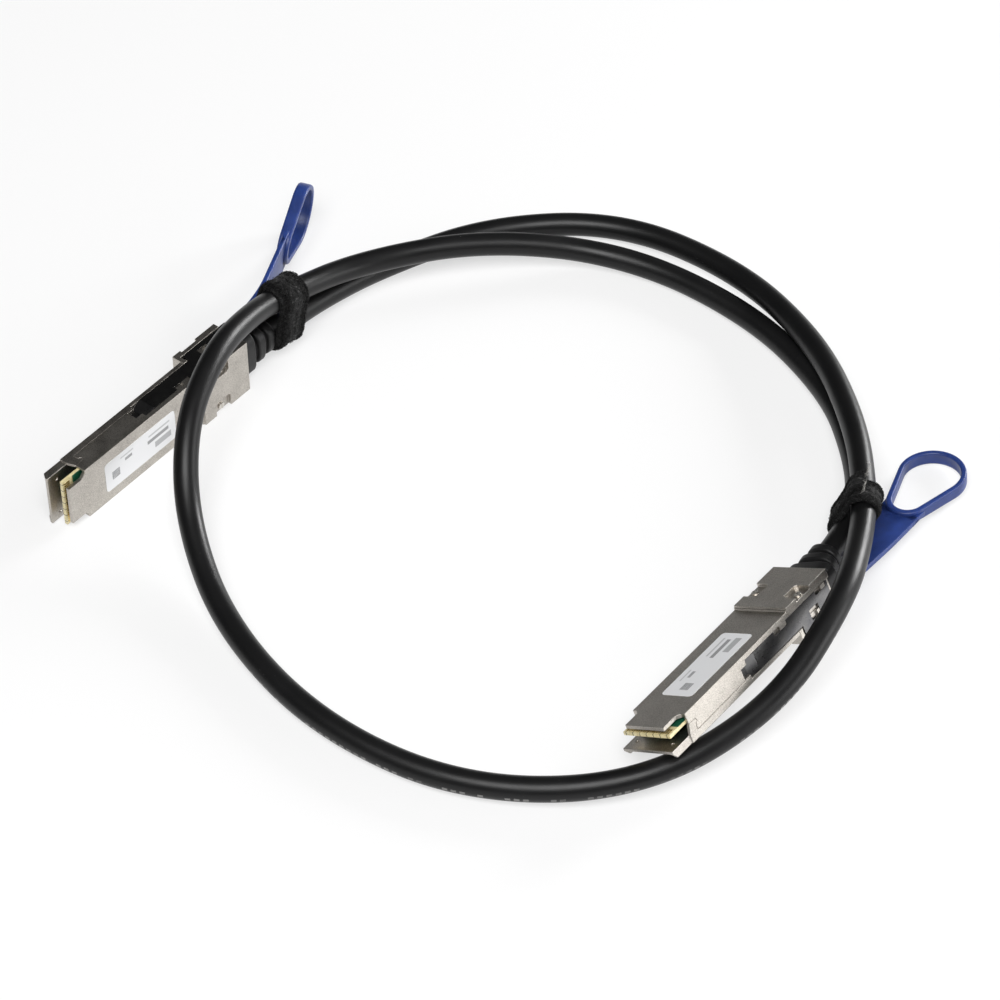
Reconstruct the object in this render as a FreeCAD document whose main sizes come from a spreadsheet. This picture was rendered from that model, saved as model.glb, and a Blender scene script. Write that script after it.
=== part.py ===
import FreeCAD, Part
import math
import os
import Sketcher

# A passive direct attach copper cable: two pluggable end housings joined by one round
# twinaxial cable, coiled flat and held by two hook-and-loop ties.
# Each plug is built in its own frame: X runs from the mating nose back to the cable,
# Y across the plug, Z towards the labelled face, with Z = 0 on that face.

Vector = FreeCAD.Vector

# ---- driving dimensions, mm and degrees -------------------------------------------------

SIZES = [
    # both shell halves
    ("shell_width", 18.35), ("shell_depth", 8.5), ("shell_length", 73.25),
    ("tongue_length", 6.5), ("tongue_inset", 2.435), ("tongue_thickness", 1.2),
    ("tongue_flare", 1.2), ("rear_length", 19.18), ("rear_step", 0.075), ("rear_rise", 1.11),
    ("ledge_length", 0.45), ("ledge_rise", 0.5), ("seam_depth", 6.35), ("side_wall", 0.82),
    ("rear_wall", 2.3), ("floor_wall", 1.1), ("rear_core", 18.25), ("cut_margin", 1.0),
    # dovetail hook where the two halves lock at the nose
    ("hook_top", 3.3), ("hook_crown", 9.3), ("hook_tip", 9.75), ("hook_tip_depth", 4.2),
    ("hook_root", 8.8), ("hook_root_depth", 4.9),
    # nose of the tab side half
    ("nose_lead", 2.18), ("nose_inset", 0.405), ("nose_depth", 6.07), ("nose_plate", 0.85),
    ("nose_slope", 1.2), ("flange_wall", 0.9), ("nose_back", 5.5), ("nose_hollow", 5.0),
    # two pits left by the ejector pins in the nose plate
    ("pit_x", 1.3), ("pit_y", 6.25), ("pit_radius", 0.5), ("pit_depth", 0.3),
    # raised block of the tab side half
    ("block_length", 17.75), ("block_rise", 3.2), ("block_bulkhead", 1.5),
    ("yoke_slot_top", 0.3), ("yoke_slot_gap", 0.15), ("rib_width", 3.0), ("rib_length", 11.0),
    # recesses for the shell screws
    ("recess_setback", 14.45), ("recess_length", 6.2), ("recess_reach", 4.625),
    ("recess_chamfer", 0.8), ("recess_relief", 0.7),
    # latch slider with its two side arms
    ("arm_channel_start", 33.3), ("arm_channel_top", 1.5), ("arm_channel_bottom", 7.2),
    ("arm_channel_depth", 0.75), ("arm_gap", 0.1), ("sheet_thickness", 0.6),
    ("ramp_crest", 36.9), ("ramp_end", 39.5), ("ramp_rise", 0.1), ("ramp_drop", 0.95),
    ("ramp_pocket_depth", 1.65), ("ramp_pocket_end", 38.8),
    ("window_start", 30.8), ("window_top", 2.9), ("window_bottom", 6.0), ("tip_start", 31.4),
    ("arm_setback", 1.25), ("yoke_setback", 15.65), ("yoke_tail_width", 12.3),
    ("tail_reach", 4.15), ("clamp_length", 3.5), ("clamp_drop", 2.6),
    ("latch_travel", 2.5), ("keeper_setback", 23.95), ("keeper_length", 3.0),
    ("keeper_height", 1.4), ("rear_keeper_setback", 4.35), ("rear_keeper_length", 2.0),
    ("stop_setback", 8.75), ("stop_length", 1.2), ("stop_bottom", 8.0),
    ("stop_window_top", 5.0), ("running_gap", 0.15),
    # paddle card and its contacts
    ("card_lead", 0.28), ("card_end", 24.0), ("card_gap", 0.145), ("card_top", 2.11),
    ("card_thickness", 1.0), ("pad_count", 19), ("pad_margin", 1.01), ("pad_width", 0.5),
    ("pad_start", 0.25), ("pad_length", 2.2), ("pad_thickness", 0.05),
    # leads and clamp inside the rear
    ("lead_count", 4), ("lead_radius", 0.7), ("lead_margin", 1.475), ("lead_converge", 0.32),
    ("lead_start", 24.0), ("crimp_length", 15.25), ("clamp_outer", 3.95), ("clamp_inner", 2.9),
    ("bore_radius", 4.0), ("cable_axis_depth", 4.25),
    # screws
    ("screw_setback", 11.61), ("screw_inset", 1.575), ("screw_head_radius", 1.1), ("screw_head", 0.53),
    ("screw_shank_radius", 0.6), ("screw_shank", 1.2), ("screw_slot", 0.35),
    ("screw_slot_depth", 0.25), ("screw_hole_gap", 0.05),
    # label plate
    ("label_start", 14.0), ("label_length", 28.9), ("label_width", 10.7),
    ("label_offset", 0.35), ("label_corner", 1.2), ("label_thickness", 0.1),
    # strain relief
    ("relief_length", 18.9), ("relief_rings", 4), ("relief_ring", 3.9),
    ("relief_inset", 0.875), ("relief_front_height", 8.2), ("relief_mid_width", 14.0),
    ("relief_end_width", 11.0), ("relief_ring_height", 8.6), ("relief_neck", 1.0),
    ("relief_neck_side", 2.0), ("relief_chamfer", 0.5),
    # pull tab
    ("strap_width", 12.3), ("strap_offset", 0.65), ("strap_thickness", 1.5),
    ("strap_plane", 10.5), ("strap_tongue", 2.4), ("tongue_gap", 0.05),
    ("strap_sections", 8),
    ("strap_length", 38.6), ("loop_length", 29.0), ("loop_radius", 9.8), ("loop_wall", 1.6),
    ("loop_thickness", 3.6), ("opening_root", 4.4), ("opening_setback", 2.0),
    # cable and ties
    ("cable_radius", 3.55), ("bend_share", 0.45), ("tie_length", 9.6), ("tie_thickness", 1.4), ("tie_gap", 0.85),
]

# Where each plug lies: nose point, yaw, pitch and roll, the strain relief's end point and
# how far the pull tab is bent out of its plane and twisted about its own length.
END_SIZES = {
    "a": [("nose_x", -121.97), ("nose_y", -15.32), ("nose_z", 9.25), ("yaw", 50.82),
          ("pitch", 0.0), ("roll", 90.0), ("relief_end_y", -1.8), ("relief_end_z", 0.0),
          ("flex_after", 8.6), ("flex_radius", 30.0), ("flex_angle", 28.0),
          ("twist", 0.0)],
    "b": [("nose_x", 34.01), ("nose_y", -105.75), ("nose_z", 18.35), ("yaw", 52.52),
          ("pitch", 2.80), ("roll", -29.65), ("relief_end_y", 4.0), ("relief_end_z", 1.35),
          ("flex_after", 25.6), ("flex_radius", 60.0), ("flex_angle", -2.0),
          ("twist", 22.0)],
}

# Route of the cable's centre line between the two strain reliefs, whose ends start and
# finish it.
CABLE_ROUTE = [
    (-55.0, 73.5, 5.6), (-36.0, 90.0, 3.6), (-5.5, 106.0, 3.6), (35.0, 108.0, 3.6),
    (70.0, 82.5, 5.5), (90.0, 45.5, 10.5), (98.0, 10.5, 12.5), (98.5, -16.5, 13.5),
    (95.5, -39.0, 17.5), (88.5, -65.0, 21.5), (69.0, -94.0, 11.5), (33.0, -116.0, 6.0),
    (-12.5, -114.5, 3.6), (-51.0, -92.0, 3.6), (-77.5, -56.5, 3.6), (-89.5, -22.0, 9.5),
    (-90.0, 0.5, 25.5), (-82.5, 24.0, 31.0), (-74.0, 44.0, 26.0), (-65.5, 61.5, 17.5),
    (-44.5, 82.0, 11.5), (-6.0, 92.5, 11.0), (36.5, 93.0, 3.6), (72.0, 66.5, 3.6),
    (89.0, 33.5, 3.6), (94.0, 5.0, 5.0), (94.0, -16.0, 7.5),
]

# Middle of each tie, seen from above.
TIE_PLACES = {"tie_a": (-62.0, 66.0), "tie_b": (96.0, -17.5)}


# ---- document, sheet and small helpers --------------------------------------------------

doc = FreeCAD.newDocument("direct_attach_cable")
size = doc.addObject("Spreadsheet::Sheet", "size")


def fill_sheet():
    """Put every driving dimension in the sheet under its own alias."""
    rows = list(SIZES)
    for end, values in END_SIZES.items():
        rows += [("end_%s_%s" % (end, name), value) for name, value in values]
    for row, (name, value) in enumerate(rows, 1):
        size.set("A%d" % row, name)
        size.set("B%d" % row, str(value))
        size.setAlias("B%d" % row, name)
    doc.recompute()


def number(formula):
    """The value of a formula written with the sheet's aliases, such as "-size.seam_depth"."""
    result = size.evalExpression(formula)
    return float(getattr(result, "Value", result))


def end_size(end, name):
    """One of the values that place a plug, such as its yaw."""
    return number("size.end_%s_%s" % (end, name))


def plug_placement(end):
    """The placement that lays a plug's own frame down beside the coil."""
    nose = Vector(end_size(end, "nose_x"), end_size(end, "nose_y"), end_size(end, "nose_z"))
    turn = FreeCAD.Rotation(end_size(end, "yaw"), end_size(end, "pitch"), end_size(end, "roll"))
    return FreeCAD.Placement(nose, turn)


def new_body(name):
    """An empty PartDesign body whose label is the name of its file."""
    body = doc.addObject("PartDesign::Body", name)
    body.Label = name
    return body


def new_sketch(body, name, role, offset=None):
    """A sketch on one of the body's own origin planes, moved along the plane's normal."""
    sketch = body.newObject("Sketcher::SketchObject", name)
    plane = next(item for item in body.Origin.OriginFeatures if item.Role == role)
    sketch.AttachmentSupport = [(plane, "")]
    sketch.MapMode = "FlatFace"
    if offset:
        sketch.setExpression("AttachmentOffset.Base.z", offset)
    return sketch


def bind(sketch, kind, geometry, corner, formula):
    """Hold one coordinate of a point at a formula's value."""
    index = sketch.addConstraint(
        Sketcher.Constraint(kind, -1, 1, geometry, corner, number(formula)))
    sketch.setExpression("Constraints[%d]" % index, formula)


def draw_outline(sketch, corners):
    """A closed outline of straight edges whose corners are pairs of formulas."""
    first = sketch.GeometryCount
    points = [Vector(number(across), number(along), 0) for across, along in corners]
    count = len(points)
    for step in range(count):
        edge = Part.LineSegment(points[step], points[(step + 1) % count])
        sketch.addGeometry(edge, False)
    for step in range(count):
        following = first + (step + 1) % count
        sketch.addConstraint(Sketcher.Constraint("Coincident", first + step, 2, following, 1))
    for step, (across, along) in enumerate(corners):
        bind(sketch, "DistanceX", first + step, 1, across)
        bind(sketch, "DistanceY", first + step, 1, along)


def draw_circle(sketch, across, along, radius):
    """A circle whose centre and radius are formulas."""
    centre = Vector(number(across), number(along), 0)
    circle = sketch.addGeometry(Part.Circle(centre, Vector(0, 0, 1), number(radius)), False)
    index = sketch.addConstraint(Sketcher.Constraint("Radius", circle, number(radius)))
    sketch.setExpression("Constraints[%d]" % index, radius)
    bind(sketch, "DistanceX", circle, 3, across)
    bind(sketch, "DistanceY", circle, 3, along)


def rectangle(low_x, high_x, low_y, high_y):
    """The four corners of a rectangle."""
    return [(low_x, low_y), (high_x, low_y), (high_x, high_y), (low_x, high_y)]


def both_sides(corners):
    """A plan outline and its mirror image across the plug's middle plane."""
    mirrored = [(along, "-(%s)" % across) for along, across in corners]
    return [corners, mirrored[::-1]]


def add_slab(body, name, outlines, low, high):
    """Pad plan outlines between two heights."""
    sketch = new_sketch(body, name + "_sketch", "XY_Plane", low)
    for corners in outlines:
        draw_outline(sketch, corners)
    pad = body.newObject("PartDesign::Pad", name)
    pad.Profile = sketch
    pad.setExpression("Length", "(%s) - (%s)" % (high, low))
    doc.recompute()
    return pad


def cut_slab(body, name, outlines, low, high):
    """Pocket plan outlines between two heights."""
    sketch = new_sketch(body, name + "_sketch", "XY_Plane", high)
    for corners in outlines:
        draw_outline(sketch, corners)
    return pocket_from(body, name, sketch, "(%s) - (%s)" % (high, low))


def pocket_from(body, name, sketch, depth):
    """Pocket a sketch downwards and make sure that it removed material."""
    before = body.Shape.Volume
    pocket = body.newObject("PartDesign::Pocket", name)
    pocket.Profile = sketch
    pocket.setExpression("Length", depth)
    doc.recompute()
    if body.Shape.Volume >= before:
        raise RuntimeError(name + " removes nothing")
    return pocket


def add_side_profile(body, name, corners, width):
    """Pad a side profile evenly to both sides of the middle plane."""
    sketch = new_sketch(body, name + "_sketch", "XZ_Plane")
    draw_outline(sketch, corners)
    pad = body.newObject("PartDesign::Pad", name)
    pad.Profile = sketch
    pad.SideType = "Symmetric"
    pad.setExpression("Length", width)
    doc.recompute()
    return pad


# ---- label side shell: the deep half of the die-cast housing ------------------------------

HOOK = [
    ("size.hook_root", "-size.seam_depth"), ("size.hook_root", "-size.hook_root_depth"),
    ("size.hook_tip", "-size.hook_tip_depth"), ("size.hook_crown", "-size.hook_top"),
]
FACE_END = "size.shell_length - size.rear_length"
CAVITY_END = "size.shell_length - size.rear_core"
RECESS_START = "size.shell_length - size.recess_setback"
RECESS_INSIDE = "size.shell_width / 2 - size.recess_reach"
REAR_SIDE = "size.shell_width / 2 + size.rear_step"
TONGUE_SIDE = "size.shell_width / 2 - size.tongue_inset"
CHANNEL_FLOOR = "size.shell_width / 2 - size.arm_channel_depth"
POCKET_FLOOR = "size.shell_width / 2 - size.ramp_pocket_depth"
OUTSIDE = REAR_SIDE + " + size.cut_margin"
SCREW_X = "size.shell_length - size.screw_setback"
SCREW_Y = "size.shell_width / 2 - size.screw_inset"
KEEPERS = [
    ("size.shell_length - size.keeper_setback", "size.keeper_length"),
    ("size.shell_length - size.rear_keeper_setback", "size.rear_keeper_length"),
]
CARD_SIDE = "size.shell_width / 2 - size.side_wall"
LEAD_SIDE = "size.shell_width / 2 - size.rear_wall"


def recess_outlines():
    """Plan of the chamfered screw recess that opens at each edge of the rear block."""
    start = RECESS_START
    end = RECESS_START + " + size.recess_length"
    return both_sides([
        (start, OUTSIDE),
        (start, RECESS_INSIDE + " + 2 * size.recess_chamfer"),
        (start + " + size.recess_chamfer", RECESS_INSIDE),
        (end + " - size.recess_chamfer", RECESS_INSIDE),
        (end, RECESS_INSIDE + " + size.recess_chamfer"),
        (end, OUTSIDE),
    ])


def cut_arm_channels(body, low, high):
    """The open channel in each side wall in which a slider arm runs."""
    start = "size.arm_channel_start"
    end = "size.shell_length"
    channel = rectangle(start, end, CHANNEL_FLOOR, OUTSIDE)
    cut_slab(body, body.Name + "_channels", both_sides(channel), low, high)
    pocket = rectangle(start, "size.ramp_pocket_end", POCKET_FLOOR, OUTSIDE)
    cut_slab(body, body.Name + "_ramp_pockets", both_sides(pocket), low, high)


def cable_bore(body, name):
    """The bore along the rear block in which the cable clamp sits."""
    sketch = new_sketch(body, name + "_sketch", "YZ_Plane", "size.shell_length")
    draw_circle(sketch, "0", "-size.cable_axis_depth", "size.bore_radius")
    pocket_from(body, name, sketch, "size.rear_core")


def build_label_shell(end):
    body = new_body("label_shell_" + end)
    add_side_profile(body, "label_front_" + end, HOOK + [
        ("size.tongue_length", "-size.hook_top"), ("size.tongue_length", "0"),
        (FACE_END, "0"), (FACE_END, "-size.seam_depth"),
    ], "size.shell_width")
    rear = rectangle(FACE_END, "size.shell_length", "-(%s)" % REAR_SIDE, REAR_SIDE)
    add_slab(body, "label_rear_" + end, [rear], "-size.seam_depth", "size.rear_rise")
    ledge = rectangle(FACE_END + " - size.ledge_length", FACE_END,
                      "-size.shell_width / 2", "size.shell_width / 2")
    add_slab(body, "label_ledge_" + end, [ledge], "0", "size.ledge_rise")
    flare = "size.tongue_length - size.tongue_flare"
    tongue = [
        ("0", "-(%s)" % TONGUE_SIDE), (flare, "-(%s)" % TONGUE_SIDE),
        ("size.tongue_length", "-(%s) - size.tongue_flare" % TONGUE_SIDE),
        ("size.tongue_length", TONGUE_SIDE + " + size.tongue_flare"),
        (flare, TONGUE_SIDE), ("0", TONGUE_SIDE),
    ]
    add_slab(body, "tongue_" + end, [tongue], "-size.tongue_thickness", "0")
    cavity = [
        ("0", "-(%s)" % CARD_SIDE), ("size.card_end", "-(%s)" % CARD_SIDE),
        ("size.card_end", "-(%s)" % LEAD_SIDE), (CAVITY_END, "-(%s)" % LEAD_SIDE),
        (CAVITY_END, LEAD_SIDE), ("size.card_end", LEAD_SIDE),
        ("size.card_end", CARD_SIDE), ("0", CARD_SIDE),
    ]
    cut_slab(body, "card_cavity_" + end, [cavity], "-size.seam_depth", "-size.tongue_thickness")
    cable_bore(body, "label_bore_" + end)
    cut_slab(body, "label_recess_" + end, recess_outlines(), "0", "size.rear_rise")
    cut_arm_channels(body, "-size.seam_depth", "-size.arm_channel_top")
    window = rectangle("size.window_start", "size.arm_channel_start", POCKET_FLOOR, OUTSIDE)
    cut_slab(body, "tip_window_" + end, both_sides(window),
             "-size.window_bottom", "-size.window_top")
    keeper_low = "-size.arm_channel_top - size.keeper_height"
    keepers = []
    for start, length in KEEPERS:
        keepers += both_sides(rectangle(start, start + " + " + length,
                                        CHANNEL_FLOOR, "size.shell_width / 2"))
    add_slab(body, "keepers_" + end, keepers, keeper_low, "-size.arm_channel_top")
    sketch = new_sketch(body, "screw_holes_sketch_" + end, "XY_Plane")
    for side in (SCREW_Y, "-(%s)" % SCREW_Y):
        draw_circle(sketch, SCREW_X, side,
                    "size.screw_shank_radius + size.screw_hole_gap")
    pocket_from(body, "screw_holes_" + end, sketch, "size.screw_shank + size.screw_hole_gap")
    return body


# ---- tab side shell: the cover half, with the open nose and the raised rear block ----------

BLOCK_START = "size.shell_length - size.block_length"
NOSE_SIDE = "size.shell_width / 2 - size.nose_inset"
STOP_START = "size.shell_length - size.stop_setback"
SLOT_START = BLOCK_START + " + size.block_bulkhead"
RIB_END = SLOT_START + " + size.rib_length"
YOKE_TOP = "-size.shell_depth - size.yoke_slot_top"
YOKE_BOTTOM = YOKE_TOP + " - size.sheet_thickness - 2 * size.yoke_slot_gap"


def build_tab_shell(end):
    body = new_body("tab_shell_" + end)
    cover = rectangle("size.nose_back", "size.shell_length",
                      "-size.shell_width / 2", "size.shell_width / 2")
    add_slab(body, "cover_" + end, [cover], "-size.shell_depth", "-size.seam_depth")
    add_side_profile(body, "front_walls_" + end, HOOK[::-1] + [
        ("size.nose_back", "-size.seam_depth"), ("size.nose_back", "-size.nose_depth"),
        ("size.tongue_length", "-size.hook_top"),
    ], "size.shell_width")
    add_side_profile(body, "nose_" + end, [
        ("-size.nose_lead", "-size.nose_depth"), ("size.nose_back", "-size.nose_depth"),
        ("size.nose_back", "-size.shell_depth"),
        ("size.nose_slope - size.nose_lead", "-size.shell_depth"),
        ("-size.nose_lead", "-size.nose_depth - size.nose_plate"),
    ], "2 * (%s)" % NOSE_SIDE)
    block = rectangle(BLOCK_START, "size.shell_length", "-(%s)" % REAR_SIDE, REAR_SIDE)
    add_slab(body, "block_" + end, [block],
             "-size.shell_depth - size.block_rise", "-size.seam_depth")
    under = rectangle("-size.nose_lead", "size.nose_hollow",
                      "size.flange_wall - (%s)" % NOSE_SIDE,
                      NOSE_SIDE + " - size.flange_wall")
    cut_slab(body, "nose_hollow_" + end, [under],
             "-size.shell_depth", "-size.nose_depth - size.nose_plate")
    pits = new_sketch(body, "pits_sketch_" + end, "XY_Plane", "-size.nose_depth")
    for side in ("size.pit_y", "-size.pit_y"):
        draw_circle(pits, "size.pit_x", side, "size.pit_radius")
    pocket_from(body, "ejector_pits_" + end, pits, "size.pit_depth")
    mouth = rectangle("size.nose_back", "size.hook_tip",
                      "-(%s)" % CARD_SIDE, CARD_SIDE)
    cut_slab(body, "mouth_" + end, [mouth], "-size.seam_depth", "-size.hook_top")
    relief = rectangle("size.hook_tip", CAVITY_END, "-(%s)" % LEAD_SIDE, LEAD_SIDE)
    cut_slab(body, "lead_space_" + end, [relief],
             "-size.shell_depth + size.floor_wall", "-size.seam_depth")
    cable_bore(body, "tab_bore_" + end)
    slot = [
        (SLOT_START, "-(%s)" % OUTSIDE), ("size.shell_length", "-(%s)" % OUTSIDE),
        ("size.shell_length", OUTSIDE), (SLOT_START, OUTSIDE),
        (SLOT_START, "size.rib_width / 2"), (RIB_END, "size.rib_width / 2"),
        (RIB_END, "-size.rib_width / 2"), (SLOT_START, "-size.rib_width / 2"),
    ]
    cut_slab(body, "yoke_slot_" + end, [slot], YOKE_BOTTOM, YOKE_TOP)
    block_bottom = "-size.shell_depth - size.block_rise"
    cut_slab(body, "block_recess_" + end, recess_outlines(),
             block_bottom, block_bottom + " + size.recess_relief")
    cut_arm_channels(body, "-size.arm_channel_bottom", "-size.seam_depth")
    drop = rectangle(SLOT_START, "size.shell_length", CHANNEL_FLOOR, OUTSIDE)
    cut_slab(body, "yoke_drop_" + end, both_sides(drop), YOKE_TOP, "-size.seam_depth")
    stop = rectangle(STOP_START, STOP_START + " + size.stop_length",
                     CHANNEL_FLOOR, "size.shell_width / 2")
    add_slab(body, "stop_lugs_" + end, both_sides(stop), "-size.stop_bottom", "-size.seam_depth")
    return body


# ---- latch slider: one bent steel sheet, two ramped arms joined by a yoke -----------------

ARM_INSIDE = CHANNEL_FLOOR + " + size.arm_gap"
ARM_OUTSIDE = ARM_INSIDE + " + size.sheet_thickness"
ARM_TOP = "-size.arm_channel_top - size.arm_gap"
ARM_BOTTOM = "-size.arm_channel_bottom + size.arm_gap"
SHEET_TOP = YOKE_TOP + " - size.yoke_slot_gap"
SHEET_BOTTOM = SHEET_TOP + " - size.sheet_thickness"
YOKE_START = "size.shell_length - size.yoke_setback"
ARM_END = "size.shell_length - size.arm_setback"
TAIL_END = "size.shell_length + size.tail_reach"


def build_latch_slider(end):
    body = new_body("latch_slider_" + end)
    front = rectangle("size.ramp_end", YOKE_START, ARM_INSIDE, ARM_OUTSIDE)
    add_slab(body, "arms_" + end, both_sides(front), ARM_BOTTOM, ARM_TOP)
    rear = rectangle(YOKE_START, ARM_END, ARM_INSIDE, ARM_OUTSIDE)
    add_slab(body, "arm_roots_" + end, both_sides(rear), SHEET_BOTTOM, ARM_TOP)
    ramp = [
        ("size.ramp_end", ARM_INSIDE), ("size.ramp_end", ARM_OUTSIDE),
        ("size.ramp_crest", ARM_OUTSIDE + " + size.ramp_rise"),
        ("size.arm_channel_start", ARM_OUTSIDE + " - size.ramp_drop"),
        ("size.arm_channel_start", ARM_INSIDE + " - size.ramp_drop"),
        ("size.ramp_crest", ARM_INSIDE + " + size.ramp_rise"),
    ]
    add_slab(body, "ramps_" + end, both_sides(ramp), ARM_BOTTOM, ARM_TOP)
    tip = rectangle("size.tip_start", "size.arm_channel_start",
                    ARM_INSIDE + " - size.ramp_drop", ARM_OUTSIDE + " - size.ramp_drop")
    add_slab(body, "tips_" + end, both_sides(tip),
             "-size.window_bottom + size.arm_gap", "-size.window_top - size.arm_gap")
    tail = "size.yoke_tail_width / 2"
    plate = [
        (YOKE_START, "-(%s)" % ARM_OUTSIDE), (ARM_END, "-(%s)" % ARM_OUTSIDE),
        (ARM_END, "size.strap_offset - " + tail),
        (TAIL_END, "size.strap_offset - " + tail),
        (TAIL_END, "size.strap_offset + " + tail),
        (ARM_END, "size.strap_offset + " + tail),
        (ARM_END, ARM_OUTSIDE), (YOKE_START, ARM_OUTSIDE),
    ]
    add_slab(body, "yoke_" + end, [plate], SHEET_BOTTOM, SHEET_TOP)
    clamp = rectangle(TAIL_END + " - size.clamp_length", TAIL_END,
                      "size.strap_offset - " + tail, "size.strap_offset + " + tail)
    add_slab(body, "tab_clamp_" + end, [clamp], SHEET_TOP + " - size.clamp_drop", SHEET_TOP)
    rib = rectangle(YOKE_START, RIB_END + " + size.running_gap",
                    "-size.rib_width / 2 - size.running_gap",
                    "size.rib_width / 2 + size.running_gap")
    cut_slab(body, "rib_slot_" + end, [rib], SHEET_BOTTOM, SHEET_TOP)
    notches = []
    for start, length in KEEPERS:
        notches += both_sides(rectangle(
            start + " - size.latch_travel - size.running_gap",
            start + " + " + length + " + size.running_gap",
            CHANNEL_FLOOR, OUTSIDE))
    cut_slab(body, "keeper_notches_" + end, notches,
             "-size.arm_channel_top - size.keeper_height - size.arm_gap", ARM_TOP)
    window = rectangle(STOP_START + " - size.latch_travel - size.running_gap",
                       STOP_START + " + size.stop_length + size.running_gap",
                       CHANNEL_FLOOR, OUTSIDE)
    cut_slab(body, "stop_windows_" + end, both_sides(window),
             "-size.stop_bottom - size.arm_gap", "-size.stop_window_top")
    socket = new_sketch(body, "tab_socket_sketch_" + end, "YZ_Plane", TAIL_END)
    draw_outline(socket, rectangle(
        "size.strap_offset - size.strap_width / 2 + size.sheet_thickness",
        "size.strap_offset + size.strap_width / 2 - size.sheet_thickness",
        "-size.strap_plane - size.strap_thickness / 2 + size.tongue_gap",
        "-size.strap_plane + size.strap_thickness / 2 - size.tongue_gap"))
    pocket_from(body, "tab_socket_" + end, socket, "size.strap_tongue")
    return body


# ---- pull tab: a moulded strap that ends in an open finger loop -----------------------------

ACROSS_PLUG = FreeCAD.Rotation(Vector(0, 1, 0), Vector(0, 0, 1), Vector(1, 0, 0), "ZXY")


def strap_frame(end, travel):
    """Where the strap's middle line is after a travel from its root, and how it is turned:
    straight, then round the bend, then straight again, with a steady twist."""
    flex = math.radians(end_size(end, "flex_angle"))
    sign = math.copysign(1, flex)
    radius = end_size(end, "flex_radius")
    before = end_size(end, "flex_after")
    bent = min(max(travel - before, 0) / radius, abs(flex))
    after = max(travel - before - abs(flex) * radius, 0)
    along = min(travel, before) + radius * math.sin(bent) + after * math.cos(bent)
    drop = radius * (1 - math.cos(bent)) + after * math.sin(bent)
    point = Vector(number(TAIL_END) + along, number("size.strap_offset"),
                   -number("size.strap_plane") - sign * drop)
    twist = end_size(end, "twist") * min(travel / number("size.strap_length"), 1)
    turn = FreeCAD.Rotation(Vector(0, 1, 0), math.degrees(sign * bent))
    return FreeCAD.Placement(point, turn.multiply(FreeCAD.Rotation(Vector(1, 0, 0), twist)))


def strap_section(body, end, index, travel):
    """A rectangle square to the strap, drawn on a plane turned with the strap."""
    sketch = new_sketch(body, "strap_section_%d_%s" % (index, end), "YZ_Plane")
    here = strap_frame(end, travel)
    turn = ACROSS_PLUG.inverted().multiply(here.Rotation).multiply(ACROSS_PLUG)
    sketch.AttachmentOffset = FreeCAD.Placement(
        ACROSS_PLUG.inverted().multVec(here.Base), turn)
    draw_outline(sketch, rectangle("-size.strap_width / 2", "size.strap_width / 2",
                                   "-size.strap_thickness / 2", "size.strap_thickness / 2"))
    return sketch


def build_pull_tab(end):
    """Strap lofted along its bend, then an egg-shaped finger loop where it ends."""
    body = new_body("pull_tab_" + end)
    whole = number("size.strap_length + size.opening_setback")
    count = int(number("size.strap_sections"))
    sections = [strap_section(body, end, index, whole * index / (count - 1))
                for index in range(count)]
    strap = body.newObject("PartDesign::AdditiveLoft", "strap_" + end)
    strap.Profile = sections[0]
    strap.Sections = sections[1:]
    strap.Ruled = False
    doc.recompute()

    loop = new_sketch(body, "loop_sketch_" + end, "XY_Plane")
    here = strap_frame(end, number("size.strap_length"))
    lowered = here.Rotation.multVec(Vector(0, 0, -number("size.loop_thickness") / 2))
    loop.AttachmentOffset = FreeCAD.Placement(here.Base + lowered, here.Rotation)
    root = number("size.strap_width / 2")
    radius = number("size.loop_radius")
    crown = number("size.loop_length - size.loop_radius")
    draw_egg(loop, root, root, crown, radius)
    inner_root = number("size.opening_root")
    draw_egg(loop, inner_root + number("size.opening_setback"), inner_root, crown,
             radius - number("size.loop_wall"))
    ring = body.newObject("PartDesign::Pad", "loop_" + end)
    ring.Profile = loop
    ring.setExpression("Length", "size.loop_thickness")
    side = "size.strap_width / 2 - size.sheet_thickness - size.tongue_gap"
    tongue = rectangle(TAIL_END + " - size.strap_tongue", TAIL_END,
                       "size.strap_offset - (%s)" % side, "size.strap_offset + " + side)
    add_slab(body, "strap_tongue_" + end, [tongue],
             "-size.strap_plane - size.strap_thickness / 2 + 2 * size.tongue_gap",
             "-size.strap_plane + size.strap_thickness / 2 - 2 * size.tongue_gap")
    return body


def draw_egg(sketch, near, near_radius, far, far_radius):
    """The outline round two circles on one line: a small one near, a larger one far."""
    lean = math.acos((near_radius - far_radius) / (far - near))
    near_touch = Vector(near + near_radius * math.cos(lean), near_radius * math.sin(lean), 0)
    far_touch = Vector(far + far_radius * math.cos(lean), far_radius * math.sin(lean), 0)
    near_low = Vector(near_touch.x, -near_touch.y, 0)
    far_low = Vector(far_touch.x, -far_touch.y, 0)
    for edge in (Part.LineSegment(near_low, far_low),
                 Part.Arc(far_low, Vector(far + far_radius, 0, 0), far_touch),
                 Part.LineSegment(far_touch, near_touch),
                 Part.Arc(near_touch, Vector(near - near_radius, 0, 0), near_low)):
        sketch.addGeometry(edge, False)


# ---- paddle card, contacts, leads and cable clamp -------------------------------------------

CARD_EDGE = CARD_SIDE + " - size.card_gap"
FIRST_PAD = CARD_EDGE + " - size.pad_margin"


def build_paddle_card(end):
    body = new_body("paddle_card_" + end)
    board = rectangle("-size.card_lead", "size.card_end", "-(%s)" % CARD_EDGE, CARD_EDGE)
    add_slab(body, "board_" + end, [board],
             "-size.card_top - size.card_thickness", "-size.card_top")
    return body


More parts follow.
